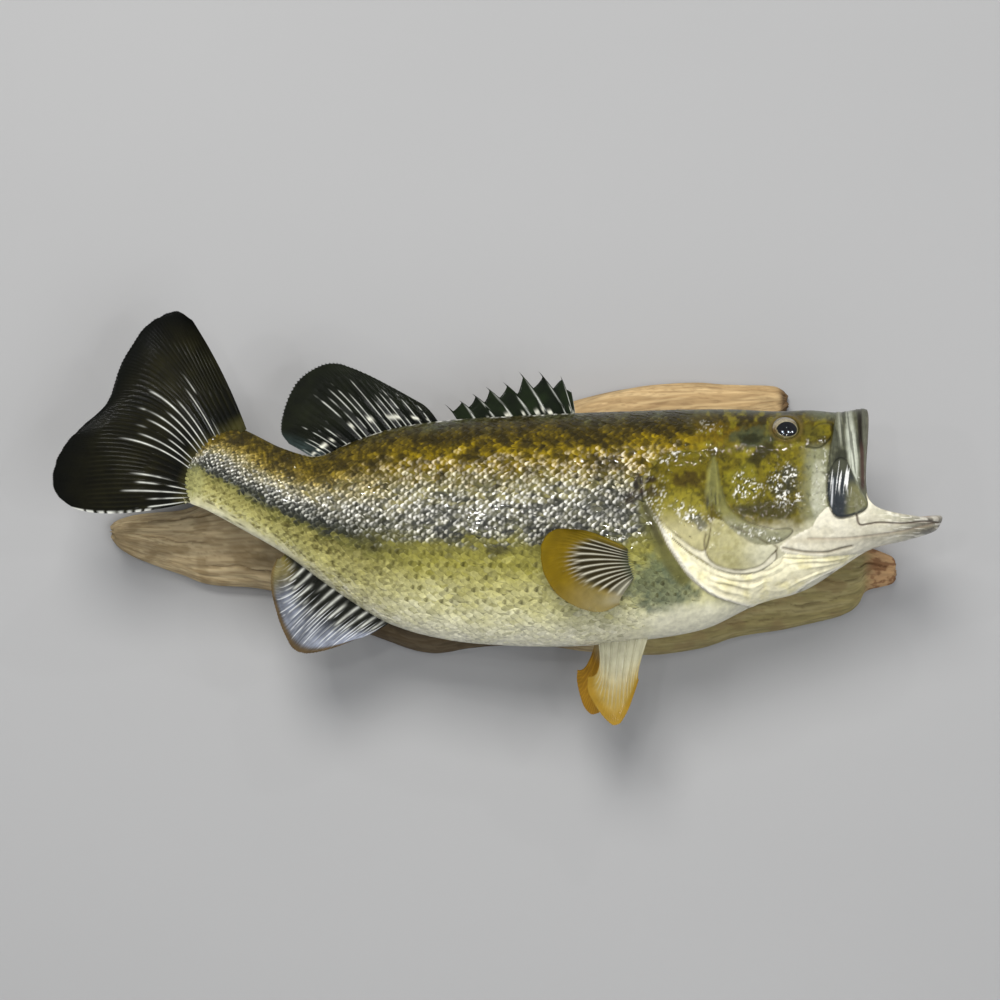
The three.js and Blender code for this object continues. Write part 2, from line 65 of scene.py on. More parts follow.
# The hollow of the mouth, throat to gape.
MOUTH = np.array([
    [136, 2, 137, -10, 138, -22, 9, -78, 1.0],
    [156, 16, 158, -9, 162, -36, 16, -79, 1.0],
    [178, 27, 180, -8, 194, -36, 22, -81, 1.0],
    [197, 39, 198, -6, 222, -26, 26, -84, 0.95],
    [212, 48, 209, -7, 246, -20.5, 28, -86, 0.85],
    [222, 52, 215, -8, 264, -15.5, 28, -88, 0.8],
    [229, 53.4, 218.3, -7, 271.5, -11.5, 27.6, -89, 0.8]])
TAIL_END = np.array([-184, 42, -201, 15, -194, -2, 1.0, -98, 1.0])
CORNER = 0.28       # how softly a rib turns between its back, side and belly
COAT = 0.7          # depth of the scales over the skin, mm
# large factors and a mask that make the repeatable noise
HASH = (73856093, 19349663, 83492791, 2654435761, 1274126177, 0x7FFFFFFF)


# ---- curves, surfaces and noise ----------------------------------------------------------------
def spline(rows, u):
    """Rows of numbers read at place u: smooth through every row, straight beyond both ends."""
    rows = np.asarray(rows, float)
    last = len(rows) - 1
    padded = np.vstack([2 * rows[0] - rows[1], rows, 2 * rows[-1] - rows[-2]])
    i = np.clip(np.floor(u).astype(int), 0, last - 1)
    t = (u - i)[..., None]
    a, b, c, d = (padded[i + k] for k in range(4))
    smooth = 0.5 * (2 * b + (c - a) * t + (2 * a - 5 * b + 4 * c - d) * t ** 2
                    + (3 * b - a - 3 * c + d) * t ** 3)
    place = u[..., None]
    below = rows[0] + (rows[1] - rows[0]) * place
    above = rows[-1] + (rows[-1] - rows[-2]) * (place - last)
    return np.where(place < 0, below, np.where(place > last, above, smooth))


def step(low, high, x):
    t = np.clip((x - low) / (high - low), 0, 1)
    return t * t * (3 - 2 * t)


def hill(x, width, power=2):
    """1 where x is 0, falling smoothly to 0 on both sides."""
    return np.exp(-(x / width) ** power)


def mix(a, b, t):
    return a + (b - a) * t


def unit(v):
    return v / np.maximum(np.linalg.norm(v, axis=-1, keepdims=True), 1e-9)


def lengths_along(points):
    """Distance run along a line of points, from 0 at its first."""
    return np.concatenate([[0], np.cumsum(np.linalg.norm(np.diff(points, axis=0), axis=1))])


def hashed(ix, iy, iz, seed):
    """The same number from 0 to 1 for the same whole numbers, and no pattern between neighbours."""
    n = (ix * HASH[0]) ^ (iy * HASH[1]) ^ (iz * HASH[2]) ^ (seed * HASH[3] & HASH[5])
    n = (n ^ (n >> 13)) * HASH[4] & HASH[5]
    return ((n ^ (n >> 16)) & 0xFFFF) / 65535.0


def noise(x, y, z=0.0, seed=0):
    """Smooth value noise from 0 to 1."""
    x, y, z = np.broadcast_arrays(np.asarray(x, float), y, z)
    ix, iy, iz = (np.floor(v).astype(np.int64) for v in (x, y, z))
    fx, fy, fz = (step(0, 1, f) for f in (x - ix, y - iy, z - iz))
    out = 0
    for dx in (0, 1):
        for dy in (0, 1):
            for dz in (0, 1):
                w = (fx if dx else 1 - fx) * (fy if dy else 1 - fy) * (fz if dz else 1 - fz)
                out = out + w * hashed(ix + dx, iy + dy, iz + dz, seed)
    return out


def fbm(x, y, z=0.0, seed=0, octaves=3):
    """Noise in several sizes at once, each half the size and half the strength of the last."""
    total, weight = 0, 0
    for k in range(octaves):
        total = total + noise(x * 2 ** k, y * 2 ** k, z * 2 ** k, seed + 17 * k) * 0.5 ** k
        weight += 0.5 ** k
    return total / weight


def ramp(s):
    return (np.sqrt(4 * s * s + CORNER * CORNER) + 2 * s) / 2


def bend(s):
    return (ramp(s) - ramp(-0.5)) / (ramp(0.5) - ramp(-0.5))


def ribs(rows, u):
    """Rows of a loft at place u; the body runs on over the root of the tail fin as a thin tongue of flesh."""
    r = spline(rows, u)
    if rows is RIBS:
        place = np.asarray(u)[..., None]
        r = np.where(place < 0, mix(RIBS[0], TAIL_END, -place), r)
    return r


def ring_point(rows, u, angle):
    """Point of the lofted body; angle 0 is the back, 90 degrees the near side, 180 the belly."""
    r = ribs(rows, u)
    down = (1 - np.cos(angle)) / 2
    up, low = bend(0.5 - down), bend(down - 0.5)
    x = r[..., 2] + (r[..., 0] - r[..., 2]) * up + (r[..., 4] - r[..., 2]) * low
    z = r[..., 3] + (r[..., 1] - r[..., 3]) * up + (r[..., 5] - r[..., 3]) * low
    swing = np.sign(np.sin(angle)) * np.abs(np.sin(angle)) ** r[..., 8]
    return np.stack([x, r[..., 7] - r[..., 6] * swing, z], -1)


def ring_frame(rows, u, angle, e=0.01):
    """Point, derivative along the fish, derivative around it, outward normal."""
    p = ring_point(rows, u, angle)
    du = (ring_point(rows, u + e, angle) - ring_point(rows, u - e, angle)) / (2 * e)
    da = (ring_point(rows, u, angle + e) - ring_point(rows, u, angle - e)) / (2 * e)
    return p, du, da, unit(np.cross(da, du))


def near_angle(angle):
    """The angle of a place, or of its mirror on the near side, from 0 to pi."""
    a = np.mod(angle, 2 * math.pi)
    return np.where(a > math.pi, 2 * math.pi - a, a)


def side_view(u, angle):
    """Picture coordinates of a body point or of its mirror on the near side."""
    p = ring_point(RIBS, u, near_angle(angle))
    k = LENS / (p[..., 1] - CAMERA_Y)
    return 500 + p[..., 0] * k, 500 - p[..., 2] * k


def down_fraction(u, angle):
    """0 on the back, 1 on the belly, measured straight down the rib."""
    p = ring_point(RIBS, u, near_angle(angle))
    r = ribs(RIBS, u)
    top, foot = r[..., [0, 1]], r[..., [4, 5]]
    line = foot - top
    return np.clip(((p[..., [0, 2]] - top) * line).sum(-1) / (line ** 2).sum(-1), 0, 1)


# ---- outlines in picture units -----------------------------------------------------------------
def curve(points, closed=True, n=5):
    """Smooth resampling of a short list of corner points."""
    pts = np.asarray(points, float)
    if closed:
        pts = np.vstack([pts[-1:], pts, pts[:2]])
        return spline(pts, np.arange(1, len(pts) - 2, 1 / n))
    return spline(pts, np.linspace(0, len(pts) - 1, (len(pts) - 1) * n + 1))


def distance(x, y, line, closed=False):
    """Distance to a line of points, and how far along the line the nearest place is."""
    pts = np.vstack([line, line[:1]]) if closed else line
    best, where = np.full(x.shape, 1e9), np.zeros(x.shape)
    m = len(pts) - 1
    for i in range(m):
        ax, ay = pts[i]
        dx, dy = pts[i + 1] - pts[i]
        t = np.clip(((x - ax) * dx + (y - ay) * dy) / max(dx * dx + dy * dy, 1e-9), 0, 1)
        d = np.hypot(x - ax - t * dx, y - ay - t * dy)
        where = np.where(d < best, (i + t) / m, where)
        best = np.minimum(best, d)
    return best, where


def within(x, y, poly):
    """Distance to the edge of a closed outline: positive inside, negative outside."""
    inside = np.zeros(x.shape, bool)
    for (xi, yi), (xj, yj) in zip(poly, np.roll(poly, 1, axis=0)):
        inside ^= ((yi > y) != (yj > y)) & (x < (xj - xi) * (y - yi) / (yj - yi + 1e-12) + xi)
    d, _ = distance(x, y, poly, closed=True)
    return np.where(inside, d, -d)


def near_line(x, y, line, width):
    """1 on an open line, falling to 0 beside it."""
    return hill(distance(x, y, line)[0], width)


def blotch(x, y, cx, cy, rx, ry, seed, ragged=0.5, turn=0.0):
    """A ragged patch, 1 in its middle and 0 outside."""
    c, s = math.cos(turn), math.sin(turn)
    dx, dy = (x - cx) * c + (y - cy) * s, (y - cy) * c - (x - cx) * s
    d = np.hypot(dx / rx, dy / ry)
    out = np.zeros(d.shape)
    near = d < 1.15 + ragged
    if near.any():
        wander = fbm(x[near] / 5.5, y[near] / 5.5, seed * 3.7, seed) - 0.5
        out[near] = step(1.15, 0.55, d[near] + ragged * 2 * wander)
    return out


# free edge of the gill cover's soft rim, round to the throat and the chin
FLAP = curve([(704, 449), (684, 452.5), (666, 455.5), (655, 466), (648.5, 480), (647.5, 496), (655, 511),
    (662, 527), (670, 545), (680, 561), (693, 578.5), (714, 595.5), (741, 605), (760, 607.5), (777, 604),
    (794, 594.5), (816, 580), (846, 566), (868, 552), (905, 545), (975, 540), (975, 470), (860, 430),
    (800, 425), (740, 430)])
OPERCLE = curve([(704, 452), (684, 454), (667, 457), (656, 467), (650, 481), (649.5, 497), (652, 509),
    (660, 520), (673, 532), (687, 543), (696, 549), (704, 550), (708, 540), (711, 520), (712, 500),
    (713, 480), (712, 462)])
SUBOPERCLE = curve([(652, 505), (660, 524), (673, 538.5), (688, 551), (703, 560.5), (715, 568), (731, 573),
    (748, 573.5), (764, 568.5), (776, 558), (770, 545), (740, 530), (712, 520), (690, 500)])
INTEROPERCLE = curve([(707, 532), (704.5, 542), (707, 555), (716, 564.5), (731, 569), (746, 569),
    (761, 564.5), (771, 555), (777, 548), (768, 543), (752, 540), (739, 532), (727, 523), (714, 519)])
PREOPERCLE = curve([(707, 470), (705.5, 484), (705, 497), (709, 505), (713.5, 505), (718, 514),
    (728.5, 527), (741.5, 536.5), (754.5, 543.5), (770, 544.5), (783, 540), (791.5, 533), (790, 529),
    (776, 529.5), (761, 526.5), (746, 521), (733, 511.5), (725, 499), (721, 482), (718, 465),
    (713.5, 456.5)])
MAXILLA = curve([(834.8, 421), (832.8, 435), (831, 447), (828.6, 466), (827.6, 481), (827.4, 495),
    (830.5, 508), (837, 517), (848, 516.5), (857, 514), (865, 510.5), (868, 504), (866, 492), (868, 470),
    (868, 440), (868, 405), (850, 400), (838, 408)])
CLUB = curve([(833, 466), (828.5, 478), (826.5, 492), (828.5, 507), (836, 516.5), (850, 515.5),
    (862, 510.5), (867, 505), (865, 498), (858, 484), (852, 472), (846, 461), (839, 459)])
JAW = curve([(829, 508), (818, 518), (813, 527), (800, 534), (788, 541), (781, 548), (792, 553.5),
    (826, 556), (856, 553), (880, 547.5), (911, 539.5), (938, 532), (950, 527), (950, 505), (912, 500),
    (880, 494), (868, 492), (866, 511), (848, 517.5), (837, 518)])
# single lines: under the snout, over it, the lip, the jaw, its crease, the shoulder
LACRIMAL = curve([(806, 446.5), (819.5, 447), (828, 440.5), (832, 434), (834, 424)], closed=False)
NOSE_FOLD = curve([(812, 429), (818, 424), (826, 422.5), (834, 424)], closed=False)
LIP_LINE = curve([(856.5, 514), (859.5, 524.5), (869, 524.3), (880, 523), (902, 524), (924, 521.8),
    (938, 523)], closed=False)
JAW_LINE = curve([(808, 538.5), (836, 538.5), (869.5, 536), (902, 531.5), (932, 524.5)], closed=False)
CREASE = curve([(783, 548), (804.5, 552), (826, 552.3), (839, 549), (852, 546)], closed=False)
SHOULDER = curve([(646, 506), (652, 523), (661, 543), (672, 562), (684, 578)], closed=False)
# lower edge of the plates, above the soft throat
UNDER_PLATES = np.array([(640, 490), (650, 504), (662, 526), (675, 541), (690, 553.5), (703, 562),
    (716, 569), (731, 574), (748, 574.5), (764, 569.5), (776, 559.5), (786, 553), (826, 556), (856, 554),
    (880, 548), (905, 542), (960, 530)])
CHEEK = curve([(729, 462), (745, 452), (775, 452), (800, 458), (811, 478), (810, 503), (792, 521),
    (762, 520), (742, 511), (730, 492)])
EYE_XY = (786.0, 428.6)


# ---- relief of the head over the plain loft, in mm ----------------------------------------------
# patches of painted glints: strength, then the blotch's middle, radii, seed, raggedness and turn
SPARKLES = (
    (1.0, 745, 487, 13, 18, 151, 0.5), (1.0, 786, 485, 17, 21, 152, 0.6), (0.55, 765, 488, 10, 7, 153, 0.6),
    (0.8, 692, 516, 26, 9, 154, 0.6, 0.62), (0.65, 752, 532, 34, 6, 155, 0.5, 0.3),
    (0.7, 652, 497, 17, 22, 156, 0.7), (0.6, 654, 452, 34, 11, 157, 0.7), (0.6, 712, 512, 10, 13, 158, 0.5),
    (0.4, 700, 426, 24, 7, 159, 0.8), (0.45, 822, 478, 9, 34, 160, 0.7))
# line, depth and width
GROOVES = ((LIP_LINE, 0.75, 1.0), (JAW_LINE, 0.35, 1.3), (CREASE, 1.2, 1.3), (LACRIMAL, 0.55, 0.9),
           (NOSE_FOLD, 0.35, 1.0))
NOSTRILS = ((813, 418.5, 1.5), (820, 417.5, 1.1))
HEAD_FROM = 8.0     # ribs from here on carry the head's relief


def sparkle(x, y):
    """Patches of painted glints, irregular bright points: how strong, and the points themselves."""
    zone = np.maximum.reduce([k * blotch(x, y, *patch) for k, *patch in SPARKLES])
    crowd = step(0.36, 0.62, fbm(x / 6.5, y / 6.5, 3.3, 162))
    return np.minimum(zone * crowd * 1.25, 1.0), step(0.55, 0.7, noise(x / 1.35, y / 1.5, 0.5, 161))


def eye_distance(x, y):
    return np.hypot(x - EYE_XY[0], (y - EYE_XY[1]) * 1.27)


def membrane_folds(x, y, flap, plated):
    """Folds of the soft throat, which run along its free edge."""
    w = flap / (flap + np.clip(-plated, 0, None) + 1e-6)
    run = distance(x, y, FLAP, closed=True)[1] * 22
    wave = 4.3 * w ** 0.9 + 2.1 * (fbm(run * 0.5, w * 1.6, 0.5, 8) - 0.5)
    folds = 0.75 * np.sin(2 * math.pi * wave)
    folds = folds + 0.35 * np.sin(4.4 * math.pi * wave + 5 * noise(run * 0.7, 1.0, 2.0, 12))
    folds = folds * (0.15 + 1.25 * noise(run * 0.8, w * 3.1, 2.0, 10))
    folds = folds + 1.0 * (fbm(run * 1.4, w * 7, 6.0, 9) - 0.5)
    return folds * mix(0.3, 0.7, step(665, 740, x)) * step(0.0, 0.1, w) * step(0.0, 3.0, -plated)


def head_relief(u, angle):
    x, y = side_view(u, angle)
    mid = near_angle(angle)
    opl, sub, inter, pre, jaw, maxilla, club = (
        within(x, y, plate) for plate in (OPERCLE, SUBOPERCLE, INTEROPERCLE, PREOPERCLE, JAW, MAXILLA, CLUB))
    flap = within(x, y, FLAP) + 0.84 * (fbm(x / 7, y / 7, 3.1, 5) - 0.5)
    below = step(452, 474, y)
    # the shoulder sinks under the free edge of the gill cover and its membrane
    r = -np.where(flap < 0, 2.2 * hill(flap, 13.0), 0) * step(600, 640, x) * below
    r += np.where(flap >= 0, 0.35 * hill(flap, 2.5), 0) * step(790, 760, x) * below
    plated = np.maximum.reduce([sub, opl, jaw])
    folds = membrane_folds(x, y, np.clip(flap, 0, None), plated) * step(2.9, 2.5, mid) * step(500, 540, y)
    r += np.where((flap > 0) & (plated < 0), folds, 0)
    # plates, each stepping down at its own edge
    r += 0.45 * step(-0.65, 0.65, sub) * below
    r += 0.55 * step(-0.65, 0.65, opl) * step(462, 490, y) + 0.7 * step(0, 14, opl)
    r += 0.55 * step(-0.65, 0.65, inter) + step(0, 14, inter)
    r += 0.7 * step(-1.2, 3.0, pre) - 0.3 * hill(pre + 0.3, 0.9) * step(490, 520, y)
    r += 0.25 * hill(pre - 4.2, 1.2) * step(505, 520, y)
    # cheek swells a little between the ridge and the upper jaw
    r += 1.1 * hill(x - 770, 30.0) * hill(y - 488, 32.0)
    # maxilla: a hollowed plate with a thick rounded lower end
    r += 1.0 * step(-0.8, 0.8, maxilla) - 0.55 * hill(maxilla + 1.0, 1.0)
    r += 1.3 * step(-1.0, 2.6, club) - 0.5 * step(7, 14, club)
    r -= 0.5 * hill(club + 1.6, 1.2) * (maxilla > 0)
    r -= 0.7 * blotch(x, y, 840, 455, 8, 10, 164, 0.3) * (club < 0)
    folds_up = np.sin((x - 845 - 0.1 * (y - 430)) * 1.05) + 0.5 * np.sin((x - 845 - 0.16 * (y - 430)) * 2.3)
    r += 0.32 * folds_up * step(466, 440, y) * step(1.0, 3.0, maxilla)
    r += 0.7 * step(-1.0, 1.5, jaw) * step(880, 850, x)
    for line, depth, width in GROOVES:
        r -= depth * near_line(x, y, line, width)
    for nx, ny, size in NOSTRILS:
        r -= 1.2 * hill(np.hypot(x - nx, (y - ny) * 1.2), size)
    # eye socket with a low rim
    ex = eye_distance(x, y)
    r += 0.7 * hill(ex - 15.5, 2.6) - 6.5 * step(13.6, 11.8, ex)
    # skin is never quite even
    r += 0.35 * (fbm(x / 9, y / 9, 1.7, 11) - 0.5)
    r += 0.22 * (noise(x / 3.1, y / 3.1, 1.1, 13) - 0.5) * step(535, 505, y)
    zone, points = sparkle(x, y)
    r += 0.28 * zone * points
    return r * step(0.02, 0.3, np.sin(mid)) ** 0.5


def relief(u, angle):
    """Height over the plain loft, for arrays of body places."""
    height = np.zeros(np.shape(u))
    head = np.asarray(u) > HEAD_FROM
    if head.any():
        height[head] = head_relief(u[head], angle[head])
    return height


# ---- meshes ------------------------------------------------------------------------------------
def build(name, points, quads=None, tris=None, tone=None, shine=0.0, uv=None, smooth=True):
    """A mesh object from arrays: points in mm, faces, point colours, point shine and an unwrap."""
    quads = np.zeros((0, 4), int) if quads is None else quads
    tris = np.zeros((0, 3), int) if tris is None else tris
    loops = np.concatenate([quads.ravel(), tris.ravel()]).astype(np.int32)
    counts = np.repeat([4, 3], [len(quads), len(tris)]).astype(np.int32)
    mesh = bpy.data.meshes.new(name)
    mesh.vertices.add(len(points))
    mesh.vertices.foreach_set("co", (points * MM).astype(np.float32).ravel())
    mesh.loops.add(len(loops))
    mesh.loops.foreach_set("vertex_index", loops)
    mesh.polygons.add(len(counts))
    mesh.polygons.foreach_set("loop_start", (np.cumsum(counts) - counts).astype(np.int32))
    mesh.polygons.foreach_set("loop_total", counts)
    mesh.polygons.foreach_set("use_smooth", np.full(len(counts), smooth))
    mesh.update(calc_edges=True)
    rgba = np.ones((len(points), 4), np.float32)
    rgba[:, :3] = np.clip(tone, 0, 1)
    mesh.attributes.new("tone", "FLOAT_COLOR", "POINT").data.foreach_set("color", rgba.ravel())
    shines = np.full(len(points), shine, np.float32)
    mesh.attributes.new("shine", "FLOAT", "POINT").data.foreach_set("value", shines)
    if uv is not None:
        layer = mesh.uv_layers.new(name="OFBake")
        layer.data.foreach_set("uv", uv.astype(np.float32)[loops].ravel())
    return show(bpy.data.objects.new(name, mesh))


def show(obj):
    bpy.context.scene.collection.objects.link(obj)
    return obj


def finish(obj, material, slot, *nodes):
    """Gives a piece its material and its body, and hides the CAD nodes it replaces; the slot is not used."""
    obj.data.materials.append(material)
    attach(obj, "root")
    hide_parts(*nodes)
    return obj


def lattice(rows, cols, wrap=False, start=0):
    """Quads between rows and columns of points; wrap joins the last column to the first."""
    i, j = np.meshgrid(np.arange(rows - 1), np.arange(cols if wrap else cols - 1), indexing="ij")
    k = (j + 1) % cols
    quads = np.stack([i * cols + j, i * cols + k, (i + 1) * cols + k, (i + 1) * cols + j], -1)
    return quads.reshape(-1, 4) + start


def fan(centre, start, count):
    """Triangles from one point to a closed ring of points."""
    k = np.arange(count)
    return np.stack([np.full(count, centre), start + (k + 1) % count, start + k], -1)


def outward(points, faces, *others, about=0.0):
    """The faces and any others, turned over if the first enclose a negative volume, seen from one place."""
    corners = np.moveaxis((points - about)[faces], 1, 0)
    volume = sum((corners[0] * np.cross(b, c)).sum() for b, c in zip(corners[1:], corners[2:]))
    return [f[:, ::-1] if volume < 0 else f for f in (faces, *others)]


# ---- materials ---------------------------------------------------------------------------------
def new_material(name):
    material = bpy.data.materials.new(name)
    material.use_nodes = True
    return material, material.node_tree, material.node_tree.nodes["Principled BSDF"]


def fill(tree, node, inputs):
    """Sets a node's inputs: a socket is linked, anything else is a constant."""
    for key, value in inputs.items():
        if isinstance(value, bpy.types.NodeSocket):
            tree.links.new(value, node.inputs[key])
        else:
            node.inputs[key].default_value = value


def node(tree, kind, output, inputs, **settings):
    """A new node with its inputs filled; returns the named output."""
    made = tree.nodes.new("ShaderNode" + kind)
    for key, value in settings.items():
        setattr(made, key, value)
    fill(tree, made, inputs)
    return made.outputs[output]


def gloss(name, vary=0.18, grain=260.0, rough=(0.2, 0.36), metal=0.6, coat=1.0, coat_rough=0.04,
          bump=0.25, bump_scale=900.0, stretch=(1, 1, 1), spec=0.4, pale_bump=1.0):
    """Painted skin under clear gloss: colour and shine from the points, variation and relief from noise."""
    material, tree, shader = new_material(name)
    add = partial(node, tree)

    def span(value, low, high, start, end):
        limits = {"From Min": low, "From Max": high, "To Min": start, "To Max": end}
        return add("MapRange", "Result", {"Value": value, **limits})

    tone = add("Attribute", "Color", {}, attribute_name="tone")
    shine = add("Attribute", "Fac", {}, attribute_name="shine")
    place = add("Mapping", "Vector", {"Vector": add("TexCoord", "Object", {}), "Scale": stretch})
    spots = add("TexNoise", "Fac", {"Vector": place, "Scale": grain, "Detail": 4})
    fine = add("TexNoise", "Fac", {"Vector": place, "Scale": bump_scale, "Detail": 3})
    level = span(spots, 0.3, 0.7, 1 - vary, 1 + vary)
    # relief can be weaker where the paint is pale
    share = span(add("RGBToBW", "Val", {"Color": tone}), 0.25, 0.55, 1.0, pale_bump)
    height = add("Math", "Value", {0: fine, 1: share}, operation="MULTIPLY")
    fill(tree, shader, {
        "Base Color": add("VectorMath", "Vector", {0: tone, "Scale": level}, operation="SCALE"),
        "Metallic": add("Math", "Value", {0: shine, 1: metal}, operation="MULTIPLY"),
        "Roughness": span(spots, 0.3, 0.7, *rough),
        "Normal": add("Bump", "Normal", {"Strength": bump, "Distance": 0.0004, "Height": height}),
        "Coat Weight": coat, "Coat Roughness": coat_rough, "Coat IOR": 1.42, "Specular IOR Level": spec})
    return material


SKIN_MAT = gloss("fish_skin", vary=0.17, pale_bump=0.25, rough=(0.35, 0.5), metal=0.3, coat=0.5,
                 coat_rough=0.08, bump=0.9, bump_scale=330, spec=0.1)
SCALE_MAT = gloss("fish_scale", vary=0.2, grain=420, rough=(0.3, 0.45), metal=0.25, coat=0.6,
                  coat_rough=0.05, bump=0.8, bump_scale=330, spec=0.1)
DARK_FIN_MAT = gloss("dark_fin", vary=0.35, grain=120, rough=(0.4, 0.6), metal=0.1, coat=0.15,
                     coat_rough=0.15, bump=0.5, bump_scale=600, spec=0.08)
FIN_MAT = gloss("pale_fin", vary=0.14, grain=150, rough=(0.4, 0.55), metal=0.15, coat=0.25,
                coat_rough=0.1, bump=0.2, bump_scale=700, spec=0.1)
EYE_MAT = gloss("glass_eye", vary=0.25, grain=900, rough=(0.05, 0.1), metal=0.8, coat_rough=0.01, bump=0.0)
TOOTH_MAT = gloss("tooth", vary=0.06, grain=600, rough=(0.2, 0.3), metal=0.0, bump=0.05)
WOOD_MAT = gloss("weathered_wood", vary=0.2, grain=300, rough=(0.7, 0.95), metal=0.0, coat=0.0, bump=0.9,
                 bump_scale=700, stretch=(0.09, 1, 1), spec=0.25)


# ---- markings ----------------------------------------------------------------------------------
def rgb(text):
    v = np.array([int(text[i:i + 2], 16) for i in (0, 2, 4)]) / 255
    return np.where(v <= 0.04045, v / 12.92, ((v + 0.055) / 1.055) ** 2.4)


def plain(colour, like):
    """One colour everywhere."""
    return np.broadcast_to(rgb(colour), like.shape + (3,))


def paint(base, *coats):
    """Blends an array of colours towards one colour after another, each with its own amount."""
    for colour, amount in coats:
        colour = rgb(colour) if isinstance(colour, str) else colour
        base = base + (colour - base) * np.clip(amount, 0, 1)[..., None]
    return base


def blend(first, second, share):
    """From one colour to another by share."""
    return mix(rgb(first), rgb(second), share[..., None])


def bands(v, stops):
    """Colour at place v between the stops of a strip, each a place and a colour."""
    places = [p for p, _ in stops]
    cols = np.array([rgb(c) for _, c in stops])
    return np.stack([np.interp(v, places, cols[:, k]) for k in range(3)], -1)


HEAD_LEFT = 625     # picture x where the head's colours can begin
# strips from back to belly: inside a scale and at its free edge, on the flank and by the tail; the near-white
# edge colours of the silver band are painted glints, and the greyish first stops of the flank strips are a
# painted sheen along the back
FLANK = [(0.0, "44462f"), (0.05, "3c3616"), (0.11, "4e4008"), (0.16, "7c6804"), (0.22, "84700a"),
         (0.27, "7c702a"), (0.33, "8a8452"), (0.42, "787660"), (0.5, "605f3a"), (0.56, "767130"),
         (0.63, "8b863e"), (0.71, "a5a062"), (0.8, "bab682"), (0.88, "c8c5a0"), (1.0, "d2cfba")]
FLANK_EDGE = [(0.0, "54573c"), (0.06, "54470c"), (0.12, "806c06"), (0.17, "9c8618"), (0.215, "f0dfbc"),
              (0.3, "fbf3d6"), (0.38, "fffdf4"), (0.48, "f8f5e8"), (0.56, "98934c"), (0.7, "aaa66a"),
              (0.85, "c6c396"), (1.0, "d6d3be")]
TAIL = [(0.0, "3d350f"), (0.1, "554810"), (0.22, "6c5c18"), (0.33, "7e7440"), (0.41, "747056"),
        (0.465, "4c4b3d"), (0.51, "1f211d"), (0.6, "282a22"), (0.65, "5c5a2c"), (0.72, "89834a"),
        (0.84, "a39e62"), (0.94, "b5b084"), (1.0, "cbc8ae")]
TAIL_EDGE = [(0.0, "5a4e1c"), (0.15, "7d691c"), (0.27, "b7a056"), (0.36, "e6dab2"), (0.44, "f6f3e6"),
             (0.5, "d9d8cc"), (0.57, "6f716a"), (0.65, "918c50"), (0.8, "aea96c"), (1.0, "d6d3b4")]


def flank_tone(x, y, v, edge):
    """Colour of the scaled body; edge is 0 inside a scale and 1 at its free edge, which in the silver band
    carries a painted glint.
    """
    spot = partial(blotch, x, y)
    tail = step(440, 330, x)
    wob = v + 0.045 * (fbm(x / 22, y / 9, 0.3, 21) - 0.5) * 2 + 0.02 * (noise(x / 5, y / 5, 4, 22) - 0.5)
    inner = mix(bands(wob, FLANK), bands(wob, TAIL), tail[..., None])
    rim = mix(bands(wob, FLANK_EDGE), bands(wob, TAIL_EDGE), tail[..., None])
    # brown mottles over the gold of the back
    mottle = 0.7 * step(0.5, 0.66, fbm(x / 8.5, y / 6.5, 2.2, 23))
    specks = step(0.62, 0.75, noise(x / 3.2, y / 2.6, 2.5, 38)) * step(0.62, 0.68, v) * tail
    c = paint(
        mix(inner, rim, edge[..., None]),
        ("251f08", mottle * step(0.0, 0.04, v) * step(0.33, 0.2, v)),
        ("251f08", 0.7 * step(0.52, 0.66, fbm(x / 12, y / 9, 7.7, 24)) * step(0.36, 0.24, v)),
        ("251f08", 0.6 * step(0.5, 0.7, noise(x / 2.6, y / 5.5, 5.5, 37)) * step(0.3, 0.2, v)),
        ("3d3512", 0.65 * specks))
    # charcoal in the silver band, in ragged patches that lengthen towards the tail
    zone = step(0.27, 0.36, v) * step(0.56, 0.5, v) * (1 - 0.8 * tail)
    patches = step(0.5, 0.64, fbm(x / 13, y / 5.5, 9.1, 25))
    band = hill(v - mix(0.5, 0.44, step(420, 640, x)), 0.06) * step(660, 600, x)
    ragged = step(0.38, 0.6, fbm(x / 5, y / 3.2, 4.4, 36))
    # painted glints: white beads along the bases of the back fins, where small scales catch the light
    bead_glint = step(0.008, 0.004, v) * step(296, 306, x) * step(579, 573, x)
    bead_glint = bead_glint * step(0.48, 0.62, noise(x / 2.7, 0.5, 0.5, 39))
    # smoky green behind and below the breast fin
    smoke = spot(662, 585, 42, 34, 31, 0.35)
    # dark corner where the gill cover ends, and the bare shoulder band under its edge, which carries a
    # painted shadow of that edge
    notch = spot(641, 492, 15, 19, 33, 0.9)
    notch = notch * (0.55 + 0.45 * step(0.35, 0.6, noise(x / 1.7, (y - 0.5 * x) / 5, 3, 165)))
    shoulder = distance(x, y, SHOULDER)[0]
    return paint(
        c,
        ("3b3d3c", (0.8 - 0.6 * edge) * zone * patches),
        ("34363a", 0.75 * band * ragged * (1 - 0.4 * edge) * (1 - tail)),
        ("2f3234", 0.6 * (1 - 0.6 * edge) * spot(612, 494, 34, 13, 26) * (1 - tail)),
        ("3a3722", 0.7 * spot(497, 550, 14, 6.5, 27)),
        ("3a3722", 0.5 * spot(372, 548, 8, 6, 28) + 0.45 * spot(545, 540, 10, 5, 29)),
        ("e9e8dc", 0.85 * bead_glint),
        ("55604a", 0.78 * smoke),
        ("3f4a3c", 0.55 * smoke * step(0.5, 0.68, fbm(x / 6, y / 6, 1.2, 32))),
        ("2a1d17", 0.95 * notch),
        # painted shadow of the gill cover's edge: an olive band, and a darker line close beside the edge
        ("5c5a30", 0.9 * step(12, 5, shoulder)),
        ("35311c", 0.6 * step(4.5, 1.5, shoulder) * step(560, 535, y)),
        ("d8d5bd", 0.75 * spot(700, 625, 60, 22, 34, 0.2)),
        # pale root of the tail fin
        ("8d8d5c", 0.6 * spot(193, 482, 12, 20, 35, 0.3)))


